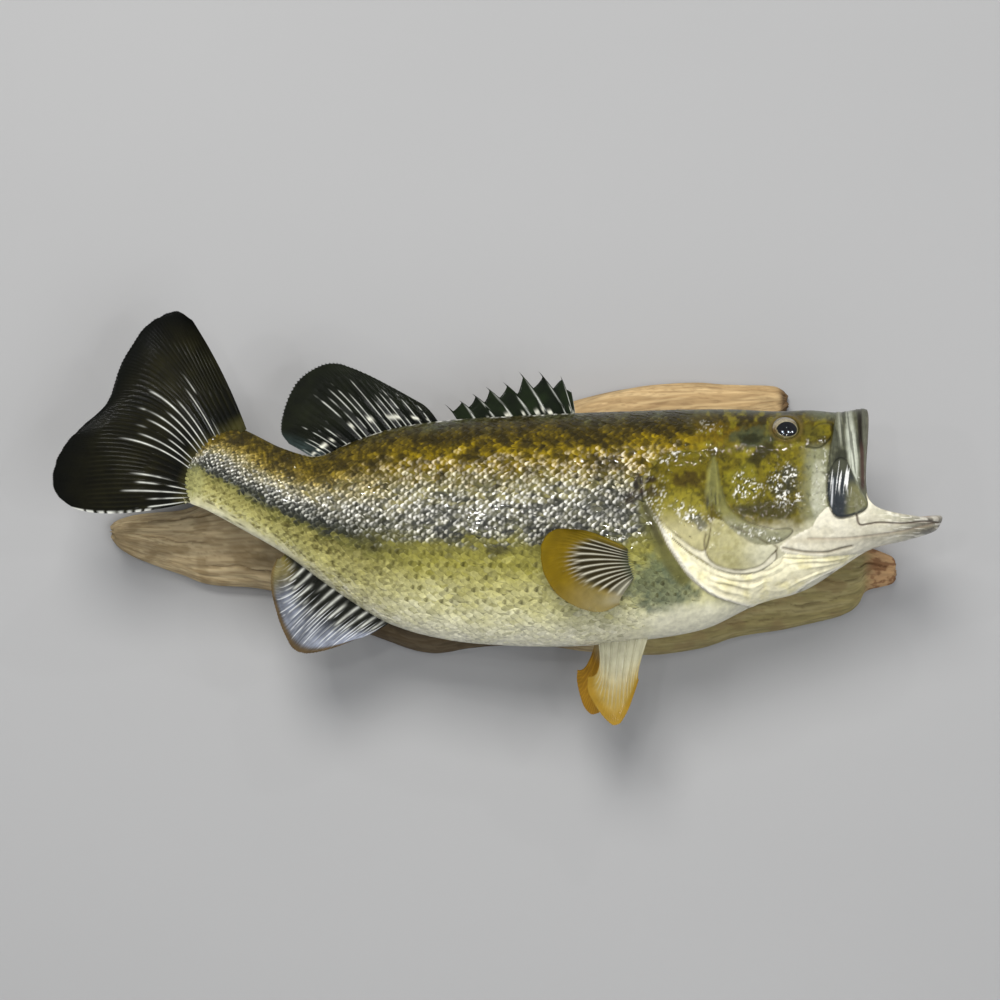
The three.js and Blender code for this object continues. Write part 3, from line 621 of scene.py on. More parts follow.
def cheek_tone(x, y, n1, n2):
    """Gold and brown of the nape, the cheek and the upper gill cover, over pale lower parts."""
    spot = partial(blotch, x, y)
    flecks = step(0.56, 0.72, noise(x / 2.1, y / 2.1, 1.3, 39)) * step(0.42, 0.6, n1)
    return paint(
        plain("625813", x),
        ("4c400d", step(452, 425, y)),
        ("2a1d17", 0.9 * spot(646, 490, 12, 15, 33, 0.9)),
        ("2c230a", 0.85 * step(0.46, 0.6, n1) * step(470, 430, y)),
        ("6b570c", 0.75 * spot(690, 434, 60, 12, 43, 0.8)),
        # painted sheen: a grey band along the top edge of the nape and head
        ("474b38", 0.7 * step(417, 410, y) * step(650, 700, x)),
        ("2a260b", 0.55 * step(0.48, 0.66, n2) * step(530, 500, y)),
        ("8a801a", 0.45 * step(0.52, 0.7, fbm(x / 6, y / 6, 8.8, 40)) * step(525, 500, y)),
        ("3f4630", 0.75 * spot(752, 436, 26, 11, 44)),
        ("1f200f", 0.8 * spot(752, 439, 15, 6, 45, 0.6)),
        ("5f540a", 0.75 * spot(684, 466, 28, 15, 46)),
        ("3a2e0c", 0.85 * spot(686, 480, 21, 9, 47, 0.8)),
        ("2f2b0f", 0.9 * spot(757, 457, 29, 8, 48, 0.7, turn=-0.75)),
        ("7d7720", 0.6 * spot(742, 485, 20, 22, 49)),
        ("8e8428", 0.6 * spot(688, 503, 24, 13, 166, 0.6, turn=0.5)),
        ("3d3812", 0.9 * spot(768, 510, 33, 12, 50, 0.5)),
        ("2c2d22", 0.75 * spot(782, 488, 17, 10, 51, 0.7)),
        ("40423c", 0.7 * spot(790, 473, 11, 9, 52, 0.7)),
        ("85876a", 0.8 * step(793, 816, x + 14 * (n1 - 0.5)) * step(440, 452, y)),
        ("b9b9a4", 0.65 * spot(819, 492, 9, 34, 53, 0.3)),
        ("5b561c", 0.6 * spot(812, 432, 16, 9, 54)),
        ("5f634c", 0.8 * step(800, 822, x) * step(424, 414, y)),
        ("26220a", 0.5 * flecks * step(525, 505, y)),
        ("b9b59a", step(514, 538, y + 0.06 * (x - 760) + 22 * (n1 - 0.5))))


def plates_tone(c, x, y, n1, n2):
    """The plates of the gill cover over the cheek's colours, with a painted shade line at each edge."""
    spot = partial(blotch, x, y)
    opl, sub, inter, pre = (within(x, y, plate) for plate in (OPERCLE, SUBOPERCLE, INTEROPERCLE, PREOPERCLE))
    low = step(496, 532, y + 0.25 * (690 - x) + 34 * (n1 - 0.5)) * step(716, 706, x)
    streaks = step(0.5, 0.7, noise((x - 714) * 14 / (y - 440), 0.3, 4, 58))
    groove_shade = step(0.55, 0.8, noise(x / 1.5, y / 14, 2, 56))
    mask = step(-0.5, 1.0, inter) * step(0.8, -0.6, pre)
    c = paint(
        c,
        (blend("8b843a", "b0a97c", step(505, 530, y)), low),
        ("494b46", 0.7 * spot(699, 523, 11, 6, 55, 0.9, turn=0.6) * (opl > -3)),
        ("83814a", 0.75 * step(-1.5, 3.5, pre + 3 * (n2 - 0.5))),
        ("80806a", 0.75 * step(-1.0, 3.0, pre) * step(505, 535, y + 20 * (n1 - 0.5))),
        ("55552f", 0.5 * streaks * (pre > 0) * step(515, 500, y)),
        # painted shade in the groove along the preopercle's edge
        ("35331f", (0.1 + 0.6 * step(500, 525, y)) * hill(pre + 0.3, 0.9)),
        # painted shade of fine upright grooves on the preopercle
        ("2e2c22", 0.75 * groove_shade * spot(713, 505, 9, 15, 57, 0.2)),
        ("aba578", 0.95 * mask),
        ("918b58", 0.5 * step(0, 3, inter) * mask * step(0.42, 0.6, n2)),
        ("c6c3a8", 0.9 * mask * step(730, 768, x + 12 * (n1 - 0.5))))
    lowest = (sub > 0) & (opl < 0) & (inter < 0) & (pre < 0) & (y > 500)
    c = np.where(lowest[..., None], blend("cdc69c", "dcd7be", step(650, 720, x)), c)
    # painted shade line along the edges of the opercle, subopercle and interopercle
    lines = ((opl, 0.8, 1.0), (sub, 0.75, (opl < 0.8) & (inter < 0.8)),
             (inter, 0.8, (pre < -1.2) & (y > 533)))
    for d, strength, shown in lines:
        line = strength * hill(d + 0.3, 1.05) * step(500, 512, y) * shown
        c = paint(c, ("4c4228", line * (0.6 + 0.4 * step(0.4, 0.6, n1))))
    return c


def jaw_tone(x, y, n1, n2):
    under_lip = y - np.interp(x, JAW_LINE[:, 0], JAW_LINE[:, 1]) - 2
    return paint(
        plain("d9d4bf", x),
        ("c3bda4", 0.5 * step(0.45, 0.65, n1)),
        ("a9a88c", 0.6 * step(862, 895, x) * step(523, 515, y - 0.02 * (x - 880)) * step(0.35, 0.6, n2)),
        ("626055", 0.9 * step(884, 932, x)),
        # painted shade just below the jaw line
        ("a89f86", 0.5 * hill(under_lip, 3.0)),
        ("4c463b", 0.75 * step(0.5, 0.64, n2) * step(908, 934, x)),
        ("45413a", 0.8 * blotch(x, y, 933, 519, 9, 5, 168, 0.8)),
        ("f0ecdc", 0.6 * step(0.6, 0.72, noise(x / 7, y / 1.3, 2, 167)) * step(870, 900, x)))


def maxilla_tone(x, y, n1, n2, club):
    """The ribbed upper plate of the maxilla, and its dark rounded lower end."""
    wide = mix(mix(3.6, 5.4, step(416, 438, y)), 2.6, step(452, 488, y))
    pale = mix(0.55, 0.9, step(416, 442, y)) * hill(x - 849.5 - 0.09 * (y - 420), wide, 4)
    veins = step(0.55, 0.7, noise((x - 0.1 * y) / 1.6, y / 22, 5, 61))
    plate = paint(
        plain("5d5e4a", x),
        ("424332", 0.7 * step(0.45, 0.65, n2)),
        ("bcc0b0", pale * (y < 494)),
        ("9fa190", 0.8 * hill(x - 839.5 - 0.04 * (y - 420), 1.9) * step(452, 436, y)),
        ("3f4136", 0.7 * veins * (y < 480)),
        # painted shade in the hollow above the club
        ("2f3026", 0.9 * blotch(x, y, 840, 457, 8, 10, 164, 0.3) * step(850, 846, x)))
    open_side = np.maximum(step(1.0, 3.5, club), step(850, 856, x) * step(510, 505, y))
    gleam = step(0.68, 0.8, noise((x + 0.12 * y) / 1.1, y / 16, 1, 62)) * step(498, 482, y)
    gleam = gleam * step(0.5, 2.0, club) * step(858, 850, x)
    edge_gleam = hill(x - 831.5 - 0.05 * (500 - y), 0.75) * step(476, 482, y) * step(510, 500, y)
    end = paint(
        plain("2b3033", x),
        ("454636", 0.8 * step(482, 468, y)),
        ("6c6a48", 0.9 * step(842, 852, x + 4 * (n1 - 0.5)) * step(476, 490, y) * open_side),
        ("8c8e78", 0.6 * step(3.0, 0.5, club) * step(850, 857, x) * step(505, 495, y)),
        ("82816a", 0.5 * step(0.5, 0.66, n2) * step(848, 856, x) * step(486, 496, y)),
        ("f3f3ee", 0.8 * gleam),
        ("e6e8e8", 0.7 * edge_gleam))
    # painted shade in the groove along the club's left and lower edge
    rim = hill(club + 0.8, 0.9) * np.maximum(step(850, 842, x), step(509, 514, y))
    return paint(np.where((club > 0)[..., None], end, plate), ("1d1e1a", 0.8 * rim))


# painted shade along the grooves of the lip, the jaw, its crease, under the snout and over it: line,
# strength, width and colour
LINE_SHADES = ((LIP_LINE, 0.85, 1.1, "4a382c"), (JAW_LINE, 0.45, 1.2, "8c7560"), (CREASE, 0.8, 1.2, "5a4c38"),
              (LACRIMAL, 0.85, 1.0, "23220f"), (NOSE_FOLD, 0.6, 1.0, "2c2a14"))


def head_tone(x, y, fold=1.0):
    """Colour of the bare head, by named places in the side view; fold is the relief height, and its low
    places get painted shade.
    """
    n1, n2 = fbm(x / 9, y / 9, 0.7, 41), fbm(x / 4, y / 4, 3.3, 42)
    c = plates_tone(cheek_tone(x, y, n1, n2), x, y, n1, n2)
    flap, jaw, maxilla, club = (within(x, y, plate) for plate in (FLAP, JAW, MAXILLA, CLUB))
    soft = (flap > -4) & (y > np.interp(x, UNDER_PLATES[:, 0], UNDER_PLATES[:, 1]) + 0.8) & (x < 925)
    cream = paint(plain("ece6c4", x), ("dfd69e", 0.6 * step(0.45, 0.7, n1)),
                  ("a8997c", 0.3 * step(0.0, -0.7, fold)))
    c = np.where(soft[..., None], cream, c)
    # near-white along the membrane's free edge, and just outside it a painted shadow of that edge
    c = paint(c, ("fbf8ea", 0.8 * soft * hill(flap, 2.2)), ("4d4530", 0.9 * soft * step(-0.5, -2.5, flap)))
    c = np.where(((jaw > -1.0) & ~soft)[..., None], jaw_tone(x, y, n1, n2), c)
    for line, strength, width, tint in LINE_SHADES:
        c = paint(c, (tint, strength * near_line(x, y, line, width)))
    c = np.where((maxilla > 0)[..., None], maxilla_tone(x, y, n1, n2, club), c)
    mouth_edge = x - 860.5 - 0.022 * (y - 450)
    zone, points = sparkle(x, y)
    gaps = (1 - points) * step(0.55, 0.35, noise(x / 2.0, y / 2.4, 1.0, 163))
    ex = eye_distance(x, y)
    return paint(
        c,
        # painted shade in the groove along the maxilla's rear edge
        ("2d2c24", 0.7 * hill(maxilla + 0.6, 0.8) * step(430, 445, y) * step(856, 850, x)),
        ("59594d", 0.85 * step(858, 860.5, x) * step(498, 488, y)),
        ("1c1712", 0.95 * hill(mouth_edge, 2.3, 4) * step(456, 442, y)),
        ("3c2421", 0.8 * hill(mouth_edge - 1.2, 2.0, 4) * step(438, 450, y) * step(494, 484, y)),
        ("4c4d40", 0.7 * step(850, 858, x) * step(418, 409, y)),
        # painted glints in the sparkle patches, with darker gaps between them
        ("2a2a1c", 0.6 * zone * gaps),
        ("f6f4ea", 0.95 * zone * points),
        ("5c4e24", 0.85 * hill(ex - 15.3, 2.0)),
        # painted shade in the hollow of the eye socket
        ("1c180c", 0.9 * step(14.0, 12.6, ex)))


def bare(x, y):
    """1 on the bare head and its plates, 0 on the scaled body."""
    nape = step(676, 724, x + 10 * (noise(x / 8, y / 8, 1, 71) - 0.5)) * step(466, 450, y)
    cover = np.where((y > 450) & (x < 850), step(-3.5, -1.5, within(x, y, FLAP)), (x >= 850) * 1.0)
    return np.maximum(cover, nape)


def body_tone(x, y, v, edge, fold=None):
    """Colour of scaled body and bare head together, and how bare each place is."""
    c, b = flank_tone(x, y, v, edge), np.zeros(x.shape)
    head = x > HEAD_LEFT
    if head.any():
        b[head] = bare(x[head], y[head])
        folds = 1.0 if fold is None else fold[head]
        c[head] = mix(c[head], head_tone(x[head], y[head], folds), b[head][..., None])
    return c, b


# ---- the skin ----------------------------------------------------------------------------------
FULL_TURN = 2 * math.pi
UNWRAP_U = np.linspace(-1, 16, 171)
UNWRAP_LENGTHS = lengths_along(ring_point(RIBS, UNWRAP_U, np.full(171, 1.4)))
NEAR_COLS, FAR_COLS = 190, 58
LIP_ROWS, MOUTH_ROWS = 8, 34
# colours into the mouth, from the throat to the gape; the dark throat end is painted shade deep in the mouth
MOUTH_TINTS = [(0.0, "2a1d19"), (0.3, "6b5348"), (0.6, "b8a191"), (0.85, "cfc1b0"), (1.0, "cbc4b0")]
TONGUE_ROWS, TONGUE_COLS = 26, 36
TONGUE_MIDDLE, TONGUE_HALF = (231, -86.5, -13.5), (23, 10.5, 4.3)
PLAIN_EDGE = 0.45   # how much of the scales' edge colour the skin under them has


def unwrap(u, angle):
    """Place on the flat unwrap of the body's own shape: length along it and angle round it."""
    s = np.interp(u, UNWRAP_U, UNWRAP_LENGTHS) / UNWRAP_LENGTHS[-1]
    return np.stack([0.01 + 0.77 * s, 0.01 + 0.98 * np.mod(angle, FULL_TURN) / FULL_TURN], -1)


def skin_depth(u):
    return mix(COAT, 0.25, step(8.9, 10.2, u))


def lip_rows(rim_out, rim_in, angles):
    """Rounded lip from the outer surface into the mouth."""
    lead = unit(ring_frame(RIBS, np.full(len(angles), 15.95), angles)[1])
    chin = step(0.75, 0.1, np.abs(angles - math.pi))[:, None]
    rows = []
    for k in range(1, LIP_ROWS + 1):
        t = k / (LIP_ROWS + 1)
        round_off = math.sin(math.pi * t)
        lip = mix(rim_out, rim_in, (1 - math.cos(math.pi * t)) / 2) + lead * ((0.9 + 2.3 * chin) * round_off)
        rows.append(lip + np.array([0, 0, 0.6]) * chin * round_off)
    return np.array(rows)


def mouth_rows(angles):
    """The hollow of the mouth with its folds and gums: points and colours, gape to throat."""
    u, a = np.meshgrid(np.linspace(5.9, 0, MOUTH_ROWS), angles, indexing="ij")
    p, _, _, n = ring_frame(MOUTH, u, a)
    folds = 0.5 * np.sin(a * 22 + 2.5 * fbm(u * 1.5, a * 3, 1, 81)) * step(5.6, 4.5, u) * step(0.2, 1, u)
    gums = 0.9 * hill(u - 5.25, 0.28)
    points = p - n * (folds + gums + 0.5 * (fbm(u * 3, a * 5, 2, 82) - 0.5))[..., None]
    tone = paint(bands(u / 6, MOUTH_TINTS),
                 ("d9d2c0", 0.5 * step(0.55, 0.9, (1 - np.cos(a)) / 2)),
                 ("8d5f54", 0.5 * step(0.55, 0.75, fbm(u * 2, a * 4, 3, 83))))
    return points, tone


def tongue_rows():
    """The tongue, an island that rests in the floor of the mouth: points and unwrap."""
    u, v = np.meshgrid(np.linspace(0, math.pi, TONGUE_ROWS), np.linspace(0, FULL_TURN, TONGUE_COLS + 1)[:-1],
                       indexing="ij")
    side = np.sin(u) * np.cos(v)
    x = TONGUE_MIDDLE[0] + TONGUE_HALF[0] * np.cos(u)
    y = TONGUE_MIDDLE[1] + TONGUE_HALF[1] * side * (1 + 0.15 * np.cos(u))
    z = TONGUE_MIDDLE[2] - 0.56 * hill(side, 0.16) + TONGUE_HALF[2] * np.sin(u) * np.sin(v)
    z = z + 0.35 * (fbm(x / 2, y / 2, 1, 84) - 0.5)
    return np.stack([x, y, z], -1), np.stack([0.002 + 0.005 * u / math.pi, 0.002 + 0.007 * v / FULL_TURN], -1)


def skin_piece():
    """One closed skin: the body with its head, the lips and the hollow mouth, and the tongue."""
    turn = np.concatenate([np.linspace(0, math.pi, NEAR_COLS + 1)[:-1],
                           np.linspace(math.pi, FULL_TURN, FAR_COLS + 1)[:-1]])
    angles = turn + 0.1 * np.sin(2 * turn)
    places = np.concatenate([np.linspace(-0.9, 8.6, 58)[:-1], np.linspace(8.6, 15.96, 298)])
    u, a = np.meshgrid(places, angles, indexing="ij")
    p, _, _, n = ring_frame(RIBS, u, a)
    height = relief(u, a)
    outer = p + n * (height - skin_depth(u))[..., None]
    x, y = side_view(u, a)
    v = down_fraction(u, a)
    outer_tone, head = body_tone(x, y, v, np.full(x.shape, PLAIN_EDGE), height)
    outer_shine = mix(0.04 + 0.3 * step(0.2, 0.32, v) * step(0.62, 0.5, v), 0.04, head)
    lips = lip_rows(outer[-1], ring_point(MOUTH, np.full(len(angles), 5.9), angles), angles)
    inner, mouth_tone = mouth_rows(angles)
    lip_t = np.linspace(0, 1, LIP_ROWS + 2)[1:-1, None]
    top_lip = step(1.9, 1.4, near_angle(angles))[None, :]
    lip_tone = paint(mix(outer_tone[-1][None], mouth_tone[0][None], lip_t[..., None]),
                     ("33221b", 0.75 * top_lip * np.sin(math.pi * lip_t)))
    tongue, tongue_uv = tongue_rows()
    inner_x = np.linspace(0.8, 0.99, LIP_ROWS + MOUTH_ROWS)[:, None]
    inner_uv = np.stack(np.broadcast_arrays(inner_x, (0.01 + 0.98 * angles / FULL_TURN)[None, :]), -1)
    cols, rows = len(angles), len(places) + LIP_ROWS + MOUTH_ROWS
    end = rows * cols
    # the grid, the two end points, the tongue
    points = np.vstack([outer.reshape(-1, 3), lips.reshape(-1, 3), inner.reshape(-1, 3),
                        outer[0].mean(0), inner[-1].mean(0), tongue.reshape(-1, 3)])
    # the throat's end point takes a near-black colour, painted shade deep in the mouth
    tone = np.vstack([outer_tone.reshape(-1, 3), lip_tone.reshape(-1, 3), mouth_tone.reshape(-1, 3),
                      outer_tone[0].mean(0), rgb("1c1210"), plain("d0b49c", tongue[..., 0]).reshape(-1, 3)])
    parts = ((LIP_ROWS * cols, 0.12), (MOUTH_ROWS * cols, 0.05), (1, 0.3),
             (1 + TONGUE_ROWS * TONGUE_COLS, 0.05))
    shine = np.concatenate([outer_shine.ravel()] + [np.full(count, value) for count, value in parts])
    uv = np.vstack([unwrap(u, a).reshape(-1, 2), inner_uv.reshape(-1, 2), [[0.004, 0.5], [0.995, 0.5]],
                    tongue_uv.reshape(-1, 2)])
    quads = np.vstack([lattice(rows, cols, wrap=True)[:, ::-1],
                       lattice(TONGUE_ROWS, TONGUE_COLS, wrap=True, start=end + 2)])
    tris = np.vstack([fan(end, 0, cols)[:, ::-1], fan(end + 1, end - cols, cols)])
    skin = build("skin", points, quads, tris, tone, shine, uv)
    finish(skin, SKIN_MAT, "flank_skin", "trunk", "tail_stalk", "head", "upper_jaw", "lower_jaw", "tongue",
           "gill_cover_near", "gill_cover_far", "throat_membrane_near", "throat_membrane_far", "maxilla_near",
           "maxilla_far")


skin_piece()


# ---- scales ------------------------------------------------------------------------------------
SCALE_TRIANGLES = 195000    # at most, in one piece
PATCH = 0.003               # a scale's own patch on the unwrap of the skin
LENGTH, WIDTH = 1.75, 1.3   # of a scale, in spacings of its row
MIDLINE = 1.42              # angle where the rows of scales are counted from
CHEEK_STEP_U, CHEEK_STEP_ANGLE = 0.062, 0.056


def scale_shape(steps):
    """A scale's own coordinates, root to edge and side to side, with the ring of its border and its faces."""
    s, q = np.meshgrid(np.linspace(0, 1, steps + 1), np.linspace(-1, 1, steps + 1), indexing="ij")
    k = np.arange((steps + 1) ** 2).reshape(steps + 1, steps + 1)
    border = np.concatenate([k[:, 0], k[-1, 1:], k[::-1, -1][1:]])
    i = np.arange(len(border) - 1)
    skirt = np.stack([border[i], border[i + 1], k.size + i + 1, k.size + i], -1)
    return s.ravel(), q.ravel(), border, np.vstack([lattice(steps + 1, steps + 1), skirt])[:, ::-1]


def scale_piece(name, roots, rng, shape, slot, nodes):
    """One mesh of scales at rows of u, angle, length, width, rise and strength of their dark dot."""
    s, q, border, local = shape
    n = len(roots)

    def normal(mean, spread):
        return rng.normal(mean, spread, n)[:, None]

    def uniform(low, high):
        return rng.uniform(low, high, n)[:, None]

    u, angle, length, width, rise, dots = (roots[:, k, None] for k in range(6))
    _, du, da, out = ring_frame(RIBS, u[:, 0], angle[:, 0])
    along = unit(du)
    across = np.cross(out, along)
    tilt = normal(0, 0.08)
    along, across = along * np.cos(tilt) + across * np.sin(tilt), across * np.cos(tilt) - along * np.sin(tilt)
    reach = s * (1 - 0.34 * np.abs(q) ** 2.4)
    back = length * (reach - 0.32)
    side = width * (0.5 * q * (0.72 + 0.28 * np.sin(math.pi * (0.2 + 0.55 * s))) * (1 - 0.28 * s ** 3))
    move = across[:, None] * side[..., None] - along[:, None] * back[..., None]
    # the move in mm, turned into steps of body place and angle
    e, f, g = ((a * b).sum(-1)[:, None] for a, b in ((du, du), (du, da), (da, da)))
    move_u, move_a = ((move * d[:, None]).sum(-1) for d in (du, da))
    det = e * g - f * f
    uu, aa = u + (g * move_u - f * move_a) / det, angle + (e * move_a - f * move_u) / det
    base, _, _, out = ring_frame(RIBS, uu, aa)
    low = relief(uu, aa) - skin_depth(uu)
    lift = normal(1.0, 0.16) * rise
    h = low - 0.12 + lift * (s ** 0.85 * (1 - 0.4 * q ** 2) - 0.1 * s ** 6)
    h = h + (normal(0, 0.2) * q + normal(0, 0.14) * (s - 0.6)) * lift
    h = h + 0.02 * np.sin(9 * math.pi * (q * (0.6 + 0.4 * s))) * step(0.35, 0.6, s)
    top = base + out * h[..., None]
    foot = base[:, border] + out[:, border] * (low[:, border] - 0.35)[..., None]
    x, y = side_view(uu, aa)
    v = down_fraction(uu, aa)
    # above, each scale carries one bright stroke of its own, a painted glint, and at times a second fainter
    # one; below, only a faint paler edge
    middle, wide = uniform(-0.25, 0.25), uniform(0.45, 0.95)
    power = np.clip(normal(1.0, 0.33), 0.1, 1.2)
    lean = s + 0.13 * q
    glint_stroke = step(0.74, 0.9, lean) * hill(q - middle, wide) * power
    second = hill(lean - uniform(0.45, 0.7), 0.075)
    second = second * hill(q - uniform(-0.6, 0.6), 0.5)
    glint_stroke = np.maximum(glint_stroke, second * uniform(0.0, 1.1))
    stray = (normal(0, 0.02) - 0.012 * step(0.4, 0.5, v)) * step(0.08, 0.16, v)
    edge = np.clip(mix(0.35 * step(0.8, 1.0, s), glint_stroke, step(0.6, 0.53, v + stray)), 0, 1)
    c, head = body_tone(x, y, v + stray, edge)
    # one dark dot in the middle of each scale of the lower flank
    vr, xr = v.mean(1, keepdims=True), x.mean(1, keepdims=True)
    chance = uniform(0, 1)
    amount = step(0.53, 0.6, vr) * step(0.93, 0.8, vr) * np.where(chance < 0.25, 0.1, 0.5 + 0.5 * chance)
    amount = amount * dots * mix(1.0, 0.55, step(300, 230, xr))
    # gold scales have a darker heart, and silver ones a dark root behind the stroke
    deep, shade = uniform(0, 1) ** 1.5, uniform(0.3, 1)
    gloom = step(0.2, 0.3, vr) * step(0.58, 0.52, vr) * (1 - edge) * shade * step(0.35, 0.6, s)
    c = paint(
        c,
        ("332f0a", hill(reach - 0.79, 0.1) * hill(q, 0.9, 4) * amount * (1 - head)),
        ("28220a", 0.85 * deep * hill(s - 0.5, 0.3) * hill(q, 0.7) * step(0.3, 0.22, vr) * (1 - head)),
        ("22221a", 0.86 * gloom * (1 - head)))
    c = c * normal(1.0, 0.12)[..., None]
    shine = mix(0.05 + 0.6 * step(0.2, 0.32, v) * step(0.6, 0.5, v) * edge, 0.3, head)
    # the border walls under each scale are darker, painted shade between overlapping scales
    dark = mix(0.4, 0.9, step(0.5, 0.6, v[:, border]))[..., None]
    points = np.concatenate([top, foot], 1)
    tone = np.concatenate([c, c[:, border] * dark], 1)
    shine = np.concatenate([shine, shine[:, border] * 0.3], 1)
    patch = np.stack([s - 0.5, 0.5 * q], -1) * PATCH
    uv = unwrap(u, angle) + np.vstack([patch, patch[border] * 1.12])
    faces = local + (np.arange(n) * points.shape[1])[:, None, None]
    obj = build(name, points.reshape(-1, 3), faces.reshape(-1, 4), None, tone.reshape(-1, 3), shine.ravel(),
                uv.reshape(-1, 2))
    finish(obj, SCALE_MAT, slot, *nodes)


def scale_pieces(name, roots, seed, steps, slot="flank_skin", nodes=("trunk", "tail_stalk")):
    """Overlapping shield-shaped scales with their free edge towards the tail, in pieces of limited size."""
    rng = np.random.default_rng(seed)
    chunk = SCALE_TRIANGLES // (2 * steps * steps + 6 * steps)
    for part, at in enumerate(range(0, len(roots), chunk)):
        scale_piece(f"{name}_{part + 1}", roots[at:at + chunk], rng, scale_shape(steps), slot, nodes)


def scale_spacing(u):
    """Distance between scales along the lateral line, in mm."""
    return mix(3.3, 5.5, step(0.5, 6.0, u))


def scale_rows():
    """Roots of the near side's scales: u, angle, size and strength of dot, in rows from the lateral line."""
    fine = np.linspace(-0.9, 9.95, 400)
    run = lengths_along(ring_point(RIBS, fine, np.full(400, 1.45)))
    us, pos = [], 2.0
    while pos < run[-1]:
        us.append(np.interp(pos, run, fine))
        pos += scale_spacing(us[-1])
    us = np.array(us)
    half_turn = np.linspace(0, math.pi, 181)
    out = []
    for shift, places in enumerate((us, (us[:-1] + us[1:]) / 2)):
        for u in places:
            arc = lengths_along(ring_point(RIBS, np.full(181, u), half_turn))
            d = float(mix(3.3, 5.2, step(0.5, 6.0, u))) * (1 + 0.25 * min(u, 0))
            row = np.arange(-60 + shift, 60, 2)
            at = np.interp(MIDLINE, half_turn, arc) + row * d / 2
            used = (at > 0.15 * d) & (at < arc[-1] - 0.15 * d)
            for a, r in zip(np.interp(at[used], arc, half_turn), row[used]):
                out.append((u, a, d, 1.0 if r % 3 == 0 else 0.3))
    return np.array(out)


def body_scales(rng):
    """Rows for scale_pieces over both sides of the body, near side first."""
    roots = scale_rows()
    roots = np.vstack([roots, roots * [1, -1, 1, 1] + [0, FULL_TURN, 0, 0]])
    roots[:, 0] += rng.normal(0, 0.01, len(roots))
    roots[:, 1] += rng.normal(0, 0.0025, len(roots))
    x, y = side_view(roots[:, 0], roots[:, 1])
    covered = np.maximum(bare(x, y), distance(x, y, SHOULDER)[0] < 6.0)
    roots, x = roots[covered < 0.6], x[covered < 0.6]
    v = down_fraction(roots[:, 0], roots[:, 1])
    small = step(600, 690, x) * step(0.7, 0.9, v)
    size = roots[:, 2] * mix(1.0, 0.75, small)
    rise = mix(0.34, 0.62, step(3.3, 5.2, size)) * (1 - 0.55 * small) * mix(1.0, 0.6, step(0.86, 0.97, v))
    rise *= mix(1.0, 0.55, step(0.08, 0.0, v)) * mix(1.0, 0.5, step(0.52, 0.62, v))
    far = np.mod(roots[:, 1], FULL_TURN) > math.pi
    order = np.argsort(roots[:, 0] + 100 * far)
    rows = np.column_stack([roots[:, :2], size * LENGTH, size * WIDTH, rise, roots[:, 3]])
    return rows[order], far[order]


def cheek_scales(rng):
    """Rows for scale_pieces over both cheeks and gill covers."""
    roots = []
    for row, u in enumerate(np.arange(9.3, 14.2, CHEEK_STEP_U)):
        angles = np.arange(0.5, 2.5, CHEEK_STEP_ANGLE) + CHEEK_STEP_ANGLE / 2 * (row % 2)
        roots += [(u, a) for a in angles] + [(u, FULL_TURN - a) for a in angles]
    roots = np.array(roots)
    roots += rng.normal(0, 0.014, roots.shape)
    roots = roots[rng.uniform(0, 1, len(roots)) < 0.8]
    x, y = side_view(roots[:, 0], roots[:, 1])
    inset = np.maximum(within(x, y, CHEEK), within(x, y, OPERCLE) - 2.0)
    used = (inset > 0) & (within(x, y, PREOPERCLE) < -1.5)
    roots, inset, x, y = roots[used], inset[used], x[used], y[used]
    spark = np.maximum(blotch(x, y, 744, 487, 13, 16, 151, 0.4), blotch(x, y, 786, 485, 16, 20, 152, 0.5))
    grow = step(0, 6, inset) * rng.uniform(0.6, 1.1, len(roots))
    rise = (0.14 + 0.26 * spark) * grow + 0.02
    return np.column_stack([roots, 2.6 * grow + 0.8, 2.2 * grow + 0.6, rise, np.zeros(len(roots))])


place_rng = np.random.default_rng(7)
body_rows, on_far_side = body_scales(place_rng)
cheek_rows = cheek_scales(place_rng)
scale_pieces("scales_near", body_rows[~on_far_side], 11, 8)
scale_pieces("scales_far", body_rows[on_far_side], 11, 5)
scale_pieces("scales_cheek", cheek_rows, 12, 4, "gill_cover", ("head", "gill_cover_near", "gill_cover_far"))
print("scales", len(body_rows), len(cheek_rows))


# ---- fins --------------------------------------------------------------------------------------
def fin_place(f, s, t):
    """Point of a fin's middle sheet: s runs along its root, t from the root to the edge."""
    a, b, c = (spline(f[k], s * (len(f[k]) - 1)) for k in ("root", "middle", "edge"))
    r = (t * f["notch"](s) if "notch" in f else t)[..., None]
    xz = a * (1 - r) * (1 - 2 * r) + 4 * b * r * (1 - r) + c * r * (2 * r - 1)
    return np.stack([xz[..., 0], f["lean"](s, r[..., 0]) + np.zeros(s.shape), xz[..., 1]], -1)


def ray_ridge(f, s, t):
    """Height of the rays over the web, 0 to 1: each ray forks towards the edge of the fin."""
    place = s * f["count"]
    wide = mix(0.17, 0.1, t)
    single, double, fourfold = (hill((np.mod(place * k, 1) - 0.5) / k, share * wide)
                                for k, share in ((1, 1.0), (2, 0.62), (4, 0.4)))
    fork = step(f["fork"], f["fork"] + 0.12, t)
    return mix(mix(single, 0.8 * double, fork), 0.6 * fourfold, step(0.74, 0.84, t))


FIN_DEFAULTS = dict(ridge=ray_ridge, fork=0.42, scallop=0.012, fray=0.012)


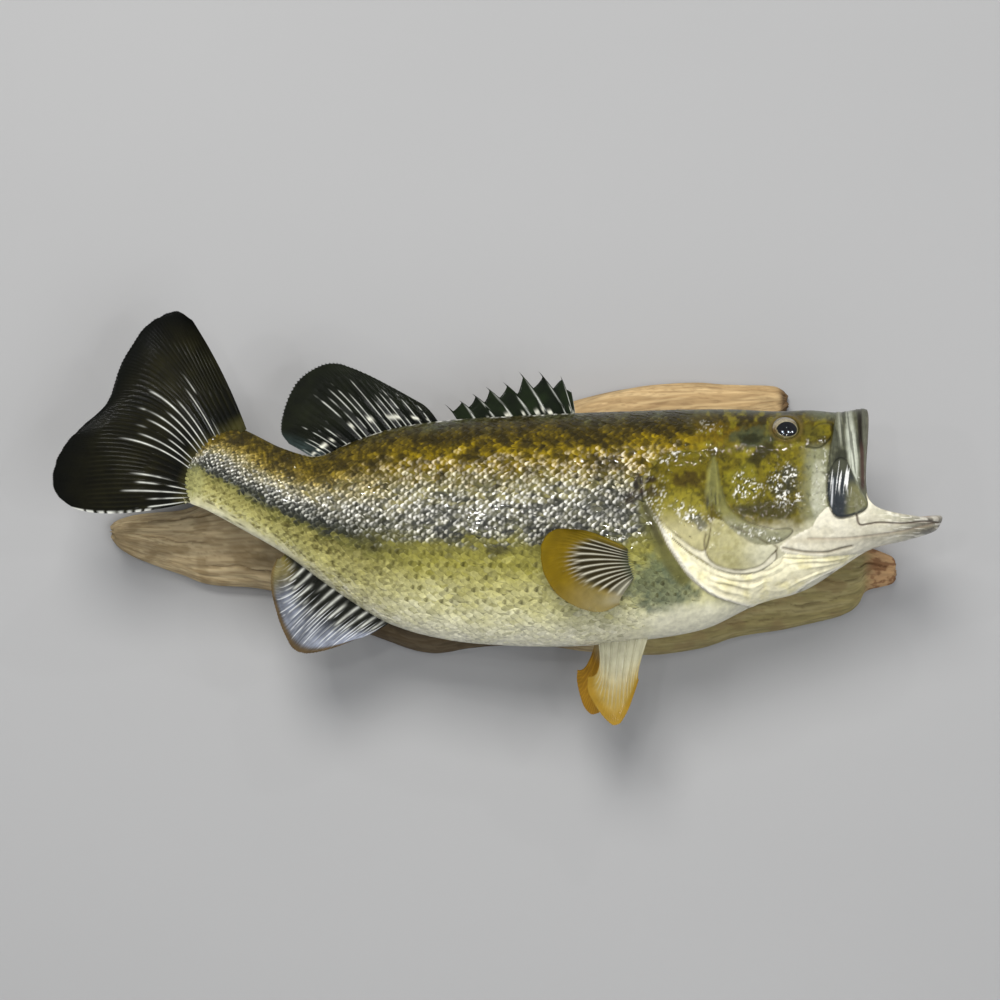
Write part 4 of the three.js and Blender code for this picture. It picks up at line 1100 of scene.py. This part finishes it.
def fin_piece(name, slot, material, settings):
    """A fin with rays on both faces, closed round its border."""
    f = FIN_DEFAULTS | settings
    count, rows = f["count"], f["rows"]
    cols = count * f["per_ray"]
    s, t = np.meshgrid(np.linspace(0, 1, cols + 1), np.linspace(0, 1, rows + 1), indexing="ij")
    ridge = f["ridge"](f, s, t)
    reach = t * (1 - f["scallop"] * (1 - ridge) - f["fray"] * noise(s * count * 2.3, 0.5, 1.0, 91))
    e = 0.004
    du = fin_place(f, np.clip(s + e, 0, 1), reach) - fin_place(f, np.clip(s - e, 0, 1), reach)
    dv = fin_place(f, s, np.clip(reach + e, 0.001, 1)) - fin_place(f, s, np.clip(reach - e, 0.001, 1))
    n = unit(np.cross(du, dv))
    rise = ridge * mix(f["ray"], 0.13, t ** 0.7) * (1 + 0.12 * np.sin(t * 190) * step(0.2, 0.4, t))
    border = np.minimum(np.minimum(s, 1 - s) * count, (1 - t) * rows / 2)
    half = np.maximum((mix(f["web"], 0.16, t) + rise) * step(-0.4, 1.0, border), 0.05)[..., None]
    ripple = f["ripple"] * (fbm(s * count / 3, t * 4, 2, 92) - 0.5) * t
    sheet = fin_place(f, s, reach) + n * ripple[..., None]
    points = np.concatenate([(sheet + n * side * half).reshape(-1, 3) for side in (-1, 1)])
    # both faces, then the strips that join them at the root, the edge and the two sides
    front = lattice(cols + 1, rows + 1)
    k = np.arange((cols + 1) * (rows + 1)).reshape(cols + 1, rows + 1)
    strips = [np.stack([line[:-1], line[1:], line[1:] + k.size, line[:-1] + k.size], -1)
              for line in (k[:, 0], k[::-1, -1], k[0, ::-1], k[-1])]
    faces, = outward(points, np.vstack([front[:, ::-1], front + k.size, *strips]))
    tone, shine = f["tone"](s, t, ridge)
    ux, uy = 0.01 + 0.48 * s, 0.01 + 0.97 * t
    uv = np.concatenate([np.stack([ux + shift, uy], -1).reshape(-1, 2) for shift in (0, 0.5)])
    obj = build(f"{name}_detail", points, faces, None, np.tile(tone.reshape(-1, 3), (2, 1)),
                np.tile(shine.ravel(), 2), uv)
    finish(obj, material, slot, name)


def glints(s, t, count, share, reach, seed):
    """Bright crests on a share of the rays, each of its own length and broken here and there."""
    ray = np.floor(s * count)
    whole = ray.astype(np.int64)
    end = reach * (0.55 + 0.6 * hashed(whole, 5, 1, seed))
    line = hill(np.mod(s * count, 1) - 0.5, 0.085) * (hashed(whole, 3, 7, seed) < share)
    return line * step(end, end - 0.12, t) * step(0.12, 0.38, noise(ray * 1.7, t * 9, 3, seed))


def caudal_tone(s, t, ridge):
    glint = glints(s, t, 24, 0.66, 0.6, 102) * step(0.12, 0.3, s) * step(0.03, 0.1, t)
    # painted glint: a broken white line along the lower edge
    rim = step(0.984, 0.994, s) * step(0.2, 0.35, t) * step(0.3, 0.6, noise(t * 30, 0.3, 1, 112))
    return paint(
        plain("050603", s),
        ("1c1a0a", 0.8 * step(0.1, 0.4, t) * step(1.0, 0.75, t) * fbm(s * 9, t * 3, 1, 101)),
        ("2c2a14", 0.3 * ridge * step(0.1, 0.3, t) * step(0.9, 0.6, t)),
        ("3d3a1c", 0.7 * step(0.2, 0.08, t + 0.08 * noise(s * 14, 0.5, 1, 99))),
        ("d2d3ca", 0.9 * glint),
        ("d2d3ca", 0.8 * rim)), 0.15 + 0.6 * glint


def dorsal_tone(s, t, ridge):
    glint = glints(s, t, 26, 0.62, 0.85 - 0.3 * s, 105)
    # painted glints: a row of white beads near the root of the fin
    bead_glint = step(0.5, 0.7, noise(s * 46, 0.3, 2, 98)) * hill(t - 0.2 - 0.08 * s, 0.03)
    return paint(
        plain("060804", s),
        ("1f2214", 0.6 * fbm(s * 7, t * 3, 4, 104) * step(0.15, 0.5, t)),
        ("c6c8be", 0.85 * glint),
        ("33403f", 0.6 * step(0.84, 0.98, s) * (1 - 0.5 * ridge)),
        ("d9d8c8", 0.9 * bead_glint)), 0.15 + 0.6 * glint


def spiny_tone(s, t, ridge):
    streak = step(0.3, 0.55, noise(s * 40, t * 6, 3, 96)) * step(0.95, 0.5, t)
    # painted glints: a row of white beads near the root of the fin
    bead_glint = step(0.5, 0.7, noise(s * 52, 0.3, 2, 97)) * hill(t - 0.27, 0.06)
    return paint(
        plain("070a05", s),
        ("1f2a14", 0.7 * fbm(s * 11, t * 3, 4, 106)),
        ("c9cbc2", 0.85 * ridge ** 3 * streak),
        ("d9d8c8", 0.9 * bead_glint)), 0.2 + 0.4 * ridge


def anal_tone(s, t, ridge):
    outer, margin = step(0.25, 0.45, t), step(0.97, 0.85, t)
    return paint(
        plain("14150f", s),
        ("b9bab0", 0.85 * ridge * step(0.98, 0.7, t) * step(0.15, 0.5, noise(s * 9, t * 6, 3, 109))),
        ("8f95a4", 0.75 * step(0.4, 0.65, t) * margin * (0.4 + 0.6 * noise(s * 8, t * 6, 2, 107))),
        ("eceeee", 0.85 * glints(s, t, 39, 0.6, 1.0, 110) * outer * margin),
        ("1c1c18", 0.7 * glints(s + 0.013, t, 39, 0.7, 1.0, 111) * outer),
        ("6a5f2c", 0.85 * step(0.8, 0.97, s + 0.12 * t) * step(0.15, 0.5, t)),
        ("5b4a30", 0.75 * step(0.86, 0.97, t)),
        ("b9b59a", 0.7 * step(0.16, 0.02, t))), 0.3 + 0.5 * ridge


def pectoral_tone(s, t, ridge):
    inner = step(0.66, 0.46, t + 0.08 * np.cos(7 * s)) * step(0.02, 0.16, s)
    cloud = 0.6 + 0.4 * fbm(s * 9, t * 4, 2, 114)
    return paint(
        plain("756104", s),
        ("665008", 0.6 * fbm(s * 8, t * 5, 1, 108) + 0.15 * (1 - ridge)),
        ("5f5418", 0.5 * step(0.35, 0.0, s) * step(0.9, 0.4, t)),
        ("17150c", 0.92 * inner * (1 - ridge)),
        ("c4c3b4", 0.85 * inner * ridge),
        ("858064", 0.55 * step(0.5, 0.85, s) * step(0.4, 0.65, t) * cloud),
        ("9d9a86", 0.4 * step(0.84, 0.98, s) * step(0.97, 0.7, t)),
        ("3c4230", 0.85 * step(0.16, 0.03, t))), 0.12 + 0.55 * inner * ridge


def pelvic_tone(s, t, ridge):
    return paint(
        plain("a5a288", s),
        ("8f8a6c", 0.7 * step(0.5, 0.7, noise(s * 30, t * 3, 1, 113)) * step(0.15, 0.4, t)),
        ("937820", 0.85 * step(0.25, 0.75, t) * (1 - 0.75 * ridge * step(0.95, 0.6, t))),
        ("8c6c18", 0.8 * step(0.72, 0.92, t))), 0.12 + 0.2 * ridge


def far_pelvic_tone(s, t, ridge):
    return paint(
        plain("a67c22", s),
        ("6e5016", 0.6 * (1 - ridge)),
        ("cfc49a", 0.7 * step(0.35, 0.08, t))), 0.12 + 0.2 * ridge


SPINES = 9


def spine_distance(s):
    """Distance to the nearest spine, and place between two spines, in spine spacings."""
    place = s * (SPINES - 1)
    return np.abs(place - np.round(place)), place - np.floor(place + 1e-6)


def spine_notch(s):
    d, between = spine_distance(s)
    return np.maximum(0.62 + 0.26 * (1 - between) ** 1.3, 1.0 - 3.6 * d)


def spine_ridge(f, s, t):
    return hill(spine_distance(s)[0], 0.1) * mix(1.0, 0.9, t)


# x z of three lines across each fin in mm, its distance from the wall, and its rays
CAUDAL = dict(
    root=[[-157.5, 44], [-172.5, 34], [-184.5, 23], [-189, 10], [-189.5, -1]],
    middle=[[-172.8, 80], [-198, 76], [-217, 52], [-231, 25], [-236, -8.3]],
    edge=[[-191, 112], [-203, 118.5], [-222, 107.2], [-236, 84], [-243.9, 60.1], [-258, 46], [-270.5, 33],
          [-277.8, 16], [-275.8, 3], [-266, -4.5]],
    lean=lambda s, t: -98 - 6 * t + 5 * np.sin(2.4 * math.pi * s) * t,
    count=24, per_ray=14, rows=110, web=0.5, ray=0.55, fork=0.3, tone=caudal_tone, ripple=0.5)
SOFT_DORSAL = dict(
    root=[[-37, 46], [-56, 43], [-76, 37], [-94, 30], [-112, 23]],
    middle=[[-43, 55], [-73, 64], [-98, 63], [-116, 45], [-124, 30.5]],
    edge=[[-49, 60.6], [-70, 72.5], [-90, 82.6], [-106, 87.4], [-121, 82.5], [-131.5, 71.5], [-137.5, 56],
          [-138.5, 43], [-133, 35.5]],
    lean=lambda s, t: -79 - 4 * s + 3 * t * np.sin(3 * s),
    count=13, per_ray=24, rows=76, web=0.45, ray=0.6, tone=dorsal_tone, scallop=0.03, ripple=0.3)
SPINY_DORSAL = dict(
    root=[[48, 49], [47, 49], [44, 49], [32, 48.5], [22, 48], [11, 47], [0, 46], [-13, 45], [-24, 44]],
    middle=[[46.6, 60], [42.5, 66], [35, 66], [22.5, 66], [12.5, 63], [1.3, 61], [-8.5, 58.5], [-19, 56],
            [-29, 53.5]],
    edge=[[44.5, 69.9], [38, 78.3], [24.2, 81.2], [11.9, 80.8], [1.8, 74.3], [-9.1, 71.4], [-17.7, 67],
          [-25.7, 62.7], [-35.1, 60.5]],
    lean=lambda s, t: -78 - 1.5 * t, notch=spine_notch, ridge=spine_ridge,
    count=16, per_ray=16, rows=44, web=0.4, ray=0.85, tone=spiny_tone, scallop=0.0, fray=0.0, ripple=0.4)
ANAL = dict(
    root=[[-62, -72], [-79, -62], [-97, -50], [-114, -39], [-131, -29]],
    middle=[[-78, -82.5], [-103, -80], [-120, -70], [-131, -55], [-137, -36]],
    edge=[[-91, -87.6], [-106, -93.6], [-121, -97], [-129.5, -94.5], [-135, -86], [-140, -72], [-143.5, -57],
          [-143.4, -45], [-139.5, -36]],
    lean=lambda s, t: -79 - 5 * s - 4 * t,
    count=13, per_ray=26, rows=76, web=0.45, ray=0.7, tone=anal_tone, scallop=0.02, ripple=0.3)
PECTORAL_NEAR = dict(
    root=[[80.5, -31], [82, -35], [83, -39], [83.5, -43], [83, -47]],
    middle=[[60, -21], [50, -28], [50, -41], [58, -53], [74, -59]],
    edge=[[45, -17.8], [32, -17.9], [24.5, -26], [24.8, -39.9], [29.4, -51.6], [38, -60.5], [50, -66.5],
          [62, -68], [73, -63]],
    lean=lambda s, t: -116 - 3 * (1 - s) - 19.5 * np.maximum(t, 0) ** 0.8,
    count=13, per_ray=13, rows=66, web=0.4, ray=0.8, fork=0.5, tone=pectoral_tone, ripple=0.5)
PECTORAL_FAR = dict(
    root=[[82, -30], [83, -34], [83.5, -38], [83.5, -42], [82.5, -46]],
    middle=[[56, -27], [54, -33], [54, -40], [56, -47], [60, -52]],
    edge=[[30, -26], [24, -31], [21, -37], [21, -43], [23, -49], [27, -54], [32, -57], [38, -58.5],
          [45, -58]],
    lean=lambda s, t: -36 - 2.5 * s + 3.4 * np.maximum(t, 0) ** 0.5,
    count=13, per_ray=8, rows=40, web=0.3, ray=0.4, tone=pectoral_tone, ripple=0.2)
PELVIC_NEAR = dict(
    root=[[60, -81], [67, -83], [76, -84], [85, -84], [94, -82]],
    middle=[[62, -104], [65, -112], [72, -115], [80, -112], [87, -104]],
    edge=[[54.5, -110], [54.5, -119], [59, -128], [65, -136.5], [70.5, -141], [75, -139.5], [79.5, -132],
          [83, -123], [86.5, -112]],
    lean=lambda s, t: -86.5 - 7 * t - 2 * s,
    count=7, per_ray=18, rows=70, web=0.45, ray=0.9, tone=pelvic_tone, ripple=0.8)
PELVIC_FAR = dict(
    root=[[62, -82], [67, -83], [72, -84], [77, -84], [82, -83]],
    middle=[[56, -103], [58, -112], [64, -116], [71, -113], [78, -105]],
    edge=[[49, -108], [48.8, -115.5], [51, -125.5], [54, -133], [58.5, -137], [64, -135], [69, -128],
          [73, -119], [76, -110]],
    lean=lambda s, t: -69.5 + 8 * t,
    count=7, per_ray=16, rows=60, web=0.4, ray=0.8, tone=far_pelvic_tone, ripple=0.8)

fin_piece("caudal_fin", "dark_fin", DARK_FIN_MAT, CAUDAL)
fin_piece("dorsal_fin_soft", "dark_fin", DARK_FIN_MAT, SOFT_DORSAL)
fin_piece("dorsal_fin_spiny", "dark_fin", DARK_FIN_MAT, SPINY_DORSAL)
fin_piece("anal_fin", "anal_fin", DARK_FIN_MAT, ANAL)
fin_piece("pectoral_fin_near", "ochre_fin", FIN_MAT, PECTORAL_NEAR)
fin_piece("pectoral_fin_far", "ochre_fin", FIN_MAT, PECTORAL_FAR)
fin_piece("pelvic_fin_near", "pelvic_fin", FIN_MAT, PELVIC_NEAR)
fin_piece("pelvic_fin_far", "pelvic_fin", FIN_MAT, PELVIC_FAR)


# ---- eyes --------------------------------------------------------------------------------------
EYE_RADIUS = 10.9
EYE_MIDDLE = (176.8, -81.5, 40.6)   # between the two eyes
EYE_APART = 17.9                    # from there to each
EYE_ROWS, EYE_COLS = 69, 96
EYE_BACK = 2.2      # angle from the axis where the ball ends, inside the head


def eye_piece(name, side):
    """A glass eye: side is -1 for the near one and 1 for the far one."""
    axis = unit(np.array([0.05, side * 0.93, 0.33]))
    across = unit(np.cross([0, 0, 1.0], axis)) * side
    upward = np.cross(axis, across) * side
    t, r = np.meshgrid(np.linspace(0, FULL_TURN, EYE_COLS + 1)[:-1],
                       np.linspace(0.0, EYE_BACK, EYE_ROWS + 1)[1:])
    flat = np.cos(t)[..., None] * across + np.sin(t)[..., None] * upward
    centre = np.array(EYE_MIDDLE) + [0, side * EYE_APART, 0]
    ball = centre + EYE_RADIUS * (np.cos(r)[..., None] * axis + np.sin(r)[..., None] * flat)
    a, b = EYE_RADIUS * np.sin(r) * np.cos(t), EYE_RADIUS * np.sin(r) * np.sin(t)
    pupil = np.hypot((a - 0.5 * hill(t, 0.5)) / 6.0, b / 4.8)
    c = paint(
        plain("6e5626", a),
        ("5b4320", 0.7 * fbm(12 * np.cos(t), 12 * np.sin(t), r * 5, 111)),
        # the iris is paler on top, a painted highlight, and darker below and to the right
        ("9a9079", 0.85 * step(2.2, 6.0, b + 0.3 * a)),
        ("4f4b24", 0.8 * np.maximum(step(0.5, -4.0, b), step(-3.5, -6.5, a))),
        ("b8ad88", 0.6 * step(1.17, 1.06, pupil) * mix(0.5, 1.0, step(-2, 3, b))),
        ("040405", step(1.07, 1.0, pupil)),
        ("3a3018", 0.8 * step(8.4, 9.8, np.hypot(a, b * 1.1))))
    points = np.vstack([centre + EYE_RADIUS * axis, ball.reshape(-1, 3)])
    quads, tris = outward(points, lattice(EYE_ROWS, EYE_COLS, wrap=True, start=1), fan(0, 1, EYE_COLS),
                          about=centre)
    uv = 0.5 + 0.22 * np.stack([r * np.cos(t), r * np.sin(t)], -1).reshape(-1, 2)
    obj = build(f"{name}_detail", points, quads, tris, np.vstack([rgb("040405"), c.reshape(-1, 3)]),
                np.append(0, 0.5 * step(0.98, 1.08, pupil).ravel()), np.vstack([[0.5, 0.5], uv]))
    return finish(obj, EYE_MAT, "eye", name)


EYES = [eye_piece("eye_near", -1), eye_piece("eye_far", 1)]


# ---- teeth: fine bands along both jaws ---------------------------------------------------------
TEETH = 620
TOOTH_RADIUS = 0.2
TOOTH_SIDES = 5


def teeth():
    rng = np.random.default_rng(5)
    angle = np.concatenate([rng.uniform(middle - spread, middle + spread, TEETH // 2)
                            for middle, spread in ((0, 1.25), (math.pi, 0.95))])
    u = 5.5 + rng.uniform(-0.16, 0.24, TEETH)
    base, du, _, out = ring_frame(MOUTH, u, np.mod(angle, FULL_TURN))
    way = unit(-out - 0.55 * unit(du) + rng.normal(0, 0.12, (TEETH, 3)))
    side = unit(np.cross(way, du))
    k = np.arange(TOOTH_SIDES) * FULL_TURN / TOOTH_SIDES
    round_it = side[:, None] * np.cos(k)[:, None] + np.cross(way, side)[:, None] * np.sin(k)[:, None]
    ring = base[:, None] + TOOTH_RADIUS * round_it - way[:, None] * 0.5
    tip = base + way * (rng.uniform(0.8, 1.5, TEETH)[:, None] + 0.6)
    points = np.concatenate([ring, tip[:, None]], 1)
    local = np.array([[i, (i + 1) % TOOTH_SIDES, TOOTH_SIDES] for i in range(TOOTH_SIDES)]
                     + [[0, i + 1, i] for i in range(1, TOOTH_SIDES - 1)])
    tris = (local + (np.arange(TEETH) * (TOOTH_SIDES + 1))[:, None, None]).reshape(-1, 3)
    obj = build("teeth", points.reshape(-1, 3), None, tris, rgb("e9e4d2"), smooth=False)
    finish(obj, TOOTH_MAT, "jaw_skin", "upper_jaw", "lower_jaw")


teeth()


# ---- driftwood ---------------------------------------------------------------------------------
# rows of x, top z, bottom z and depth from the wall, mm
SLAB = np.array([
    [-256.6, -16, -25, 9], [-250.7, -12.5, -32.2, 16], [-236.3, -9.2, -40, 21], [-210, -6.6, -49.2, 25],
    [-190.3, 0, -56, 27], [-150.9, 6.6, -59.7, 30], [-111.6, 13.1, -77.4, 33], [-75.5, 18.4, -92.5, 35],
    [-45.9, 24.9, -101.1, 36], [-15, 28, -97, 36], [25, 26, -96, 36], [56, 18, -99.6, 36],
    [98.4, 3.3, -102.1, 35], [131.3, -6.6, -97.8, 33], [157.5, -13.1, -89.9, 31], [190.3, -19.7, -84.7, 28],
    [223.1, -26.3, -76.8, 25], [234.9, -29.5, -70, 23], [241.5, -30.8, -60, 21], [257.9, -36.8, -55.8, 17],
    [261.8, -42, -50, 10]])
BRANCH = np.array([
    [190.3, 69, 61, 8], [180.5, 75.1, 49.2, 16], [149.6, 76.1, 39.4, 22], [118.1, 77.1, 34.1, 25],
    [72.2, 71.5, 23, 28], [26.3, 57.8, 6.6, 30], [-13.1, 39.4, -9.8, 30], [-40, 24, -26, 26]])
# cracks: middle x, angle round the wood, length, width and depth
SLAB_CRACKS = ((-200, 0.8, 34, 0.025, 2.2), (-215, 1.5, 26, 0.02, 2.0), (-165, 2.2, 30, 0.03, 2.4),
               (190, 2.1, 40, 0.02, 2.0), (215, 1.6, 30, 0.025, 2.2), (150, 2.4, 30, 0.02, 1.8),
               (246, 1.3, 12, 0.05, 2.5))
BRANCH_CRACKS = ((172, 0.72, 13, 0.03, 2.4), (120, 0.5, 40, 0.018, 1.2), (90, 0.9, 30, 0.015, 1.0))
FLAT_COLS = 14      # columns across the flat back, which lies on the wall


def wood_relief(x, angle, seed, rough, cracks):
    """Grain, hollows and cracks: height in mm, and the two grains for the colours."""
    warp = 3.5 * fbm(x / 60, angle * 1.6, 1.0, seed)
    g1 = fbm(x / 34, angle * 15 + 2 * warp, 3.0, seed + 1, 4)
    g2 = fbm(x / 11, angle * 42 + 5 * warp, 5.0, seed + 2, 3)
    low = rough * (0.9 * (0.25 - np.abs(2 * g1 - 1)) + 0.8 * (g2 - 0.5))
    low = low + 3.0 * (fbm(x / 34, angle * 2.6, 8.0, seed + 3) - 0.5)
    for cx, ca, length, wide, deep in cracks:
        line = ca + 0.05 * np.sin((x - cx) / 9.0) + 0.03 * np.sin((x - cx) / 3.1)
        low = low - deep * hill(angle - line, wide) * hill(x - cx, length, 4)
    return low, g1, g2


def wood_piece(name, slot, table, rows, cols, tone_of, seed, rough, cracks):
    """A half-round log along the rows of its table, with a flat back and broken ends."""
    u, k = np.meshgrid(np.linspace(0, len(table) - 1, rows), np.arange(cols), indexing="ij")
    arc = cols - FLAT_COLS
    front = k < arc
    turn = math.pi * np.clip(k / (arc - 1), 0, 1)
    x, top, foot, depth = np.moveaxis(spline(table, u), -1, 0)
    mid, tall = (top + foot) / 2, (top - foot) / 2
    swell = np.maximum(np.sin(turn), 0) ** 0.55
    z = np.where(front, mid + tall * np.cos(turn), mid - tall + 2 * tall * (k - arc + 1) / (FLAT_COLS + 1))
    angle = np.where(front, turn, 0)
    low, g1, g2 = wood_relief(x, angle, seed, rough, cracks)
    # the relief moves the front along its own outward direction
    out_y, out_z = -swell, np.cos(turn)
    push = low * np.where(front, np.minimum(swell * 1.6, 1.0), 0.0) / np.hypot(out_y, out_z)
    y = np.minimum(np.where(front, -depth * swell, 0.0) + push * out_y, 0.0)
    z = z + np.where(front, push * out_z, 0.0)
    ends = np.minimum(u, len(table) - 1 - u)
    sign = np.where(u < (len(table) - 1) / 2, -1.0, 1.0) * np.sign(table[-1, 0] - table[0, 0])
    jag = 5.0 * (fbm(angle * 3.0, z / 7, 2.0, seed + 4) - 0.62)
    jag = jag + 2.0 * (noise(angle * 11, z / 2.5, 1, seed + 5) - 0.6)
    x = x + sign * jag * step(0.9, 0.0, ends)
    tone = tone_of(x, z, g1, g2, low)
    grid, count = np.stack([x, y, z], -1), rows * cols
    points = np.vstack([grid.reshape(-1, 3), grid[[0, -1]].mean(1)])
    tones = np.vstack([tone.reshape(-1, 3), tone[[0, -1]].mean(1) * 0.6])
    caps = np.vstack([fan(count, 0, cols), fan(count + 1, count - cols, cols)[:, ::-1]])
    quads, tris = outward(points, lattice(rows, cols, wrap=True), caps)
    uv = np.stack([0.02 + 0.96 * u / (len(table) - 1), 0.02 + 0.96 * k / cols], -1).reshape(-1, 2)
    obj = build(f"{name}_detail", points, quads, tris, tones, uv=np.vstack([uv, [0.01, 0.5], [0.99, 0.5]]))
    finish(obj, WOOD_MAT, slot, name)


def slab_tone(x, z, g1, g2, low):
    right = step(40, 110, x)
    stain = step(-170, -130, x) * step(0.5, 0.66, fbm(x / 16, z / 9, 4, 123)) * step(20, -20, x)
    end = step(236, 246, x + 6 * (g2 - 0.5))
    return paint(
        blend("b09c78", "918659", right),
        (blend("c4b28c", "a2976c", right), 0.7 * step(0.42, 0.66, g1)),
        (blend("8f7b58", "80744e", right), 0.6 * step(0.5, 0.36, g2)),
        # painted shade in the hollows and cracks
        ("54442f", 0.5 * step(-0.8, -1.8, low)),
        ("86724f", 0.5 * step(0.54, 0.7, fbm(x / 13, z / 8, 2, 121))),
        ("3d3024", 0.6 * stain),
        # painted shadow of the fish's belly along the lower part of the slab
        ("2a2018", 0.8 * step(-150, -90, x) * step(60, 20, x) * step(-40, -75, z)),
        ("b8926a", 0.85 * end),
        ("6a4228", 0.7 * end * step(0.48, 0.64, fbm(x / 4, z / 3, 1, 122))))


def branch_tone(x, z, g1, g2, low):
    return paint(
        blend("b0946a", "c8ad80", step(0.35, 0.7, g1)),
        # darker grain, and painted shade in the hollows and cracks
        ("8b7150", 0.45 * step(0.45, 0.3, g2) + 0.3 * step(0.2, -1.0, low)),
        ("5d452d", 0.85 * step(181, 188, x + 5 * (g2 - 0.5))))


wood_piece("driftwood_slab", "driftwood_grey", SLAB, 460, 96, slab_tone, 131, 1.0, SLAB_CRACKS)
wood_piece("driftwood_branch", "driftwood_tan", BRANCH, 260, 84, branch_tone, 141, 0.45, BRANCH_CRACKS)


# ---- stage, light and camera -------------------------------------------------------------------
WALL_Y, FLOOR_Z, REACH = 0.0008, -1.2, 4
# place, size, watts and colour of the two soft lights, which leave no reflection in the gloss
SOFT_LIGHTS = (("key", (-0.35, -2.2, 1.3), 1.0, 52, (1, 0.985, 0.96)),
               ("fill", (0.9, -2.2, -0.5), 1.2, 12, (0.95, 0.97, 1.0)))
# places in metres and watts of the small lights that make the gloss sparkle
SPARKS = ((0.3, -1.2, 1.2, 1.2), (-0.6, -1.5, 0.75, 1.1), (0.9, -1.5, 0.4, 1.0), (-0.1, -1.9, 0.35, 1.1),
          (-0.2, -1.4, 0.15, 0.9), (0.5, -1.6, 0.02, 0.9), (-0.9, -1.5, 0.2, 1.0), (0.05, -1.3, -0.4, 0.4),
          (0.3, -1.7, -0.15, 0.7))
EYE_LIGHTS = ((-0.45, -1.65, 0.55, 6), (0.68, -1.65, 0.5, 6), (1.5, -1.4, 0.55, 7))


def plane(name, corners, colour):
    """A matt sheet, clear from behind so that it hides nothing when seen from its back."""
    mesh = bpy.data.meshes.new(name)
    mesh.from_pydata(corners, [], [(0, 1, 2, 3)])
    material, tree, shader = new_material(name)
    cloud = node(tree, "TexNoise", "Fac", {"Scale": 9, "Detail": 8})
    shades = {"To Min": colour * 0.93, "To Max": colour * 1.07}
    tint = node(tree, "MapRange", "Result", {"Value": cloud, **shades})
    fill(tree, shader, {"Base Color": tint, "Roughness": 0.9, "Specular IOR Level": 0.2})
    behind = node(tree, "NewGeometry", "Backfacing", {})
    clear = node(tree, "BsdfTransparent", "BSDF", {})
    surface = node(tree, "MixShader", "Shader", {"Fac": behind, 1: shader.outputs["BSDF"], 2: clear})
    fill(tree, tree.nodes["Material Output"], {"Surface": surface})
    mesh.materials.append(material)
    return show(bpy.data.objects.new(name, mesh))


def area(name, place, aim, size, power, colour=(1, 1, 1), mirrored=True):
    """A square light at a place in metres, turned to its aim."""
    data = bpy.data.lights.new(name, "AREA")
    data.shape = "RECTANGLE"
    data.size = data.size_y = size
    data.energy = power
    data.color = colour
    obj = bpy.data.objects.new(name, data)
    obj.location = place
    obj.visible_glossy = mirrored
    obj.rotation_mode = "QUATERNION"
    obj.rotation_quaternion = (Vector(aim) - Vector(place)).to_track_quat("-Z", "Y")
    return show(obj)


wall = plane("backdrop", [(-REACH, WALL_Y, FLOOR_Z), (REACH, WALL_Y, FLOOR_Z), (REACH, WALL_Y, REACH),
                          (-REACH, WALL_Y, REACH)], 0.375)
floor = plane("floor", [(-REACH, -REACH, FLOOR_Z), (REACH, -REACH, FLOOR_Z), (REACH, WALL_Y, FLOOR_Z),
                        (-REACH, WALL_Y, FLOOR_Z)], 0.5)
for name, place, size, watts, colour in SOFT_LIGHTS:
    area(name, place, (0, 0, 0), size, watts, colour, mirrored=False)
for k, (*place, watts) in enumerate(SPARKS):
    area(f"spark_{k}", place, (0, -0.05, 0), 0.025, watts)
# lights that reach only the eyes
only_eyes = bpy.data.collections.new("eyes")
for eye in EYES:
    only_eyes.objects.link(eye)
for k, (*place, watts) in enumerate(EYE_LIGHTS):
    light = area(f"eye_light_{k}", place, (0.17, -0.1, 0.04), 0.26, watts, (0.85, 0.92, 1.0))
    light.light_linking.receiver_collection = only_eyes
world = bpy.data.worlds.new("studio")
world.use_nodes = True
fill(world.node_tree, world.node_tree.nodes["Background"], {"Color": (0.9, 0.93, 1.0, 1), "Strength": 0.3})
bpy.context.scene.world = world
bpy.context.scene.view_settings.view_transform = "Standard"

camera_data = bpy.data.cameras.new("camera")
camera_data.lens = 85.0
camera_data.sensor_width = 36
camera = show(bpy.data.objects.new("camera", camera_data))
camera.location = (0, CAMERA_Y * MM, 0)
camera.rotation_euler = (math.pi / 2, 0, 0)
bpy.context.scene.camera = camera
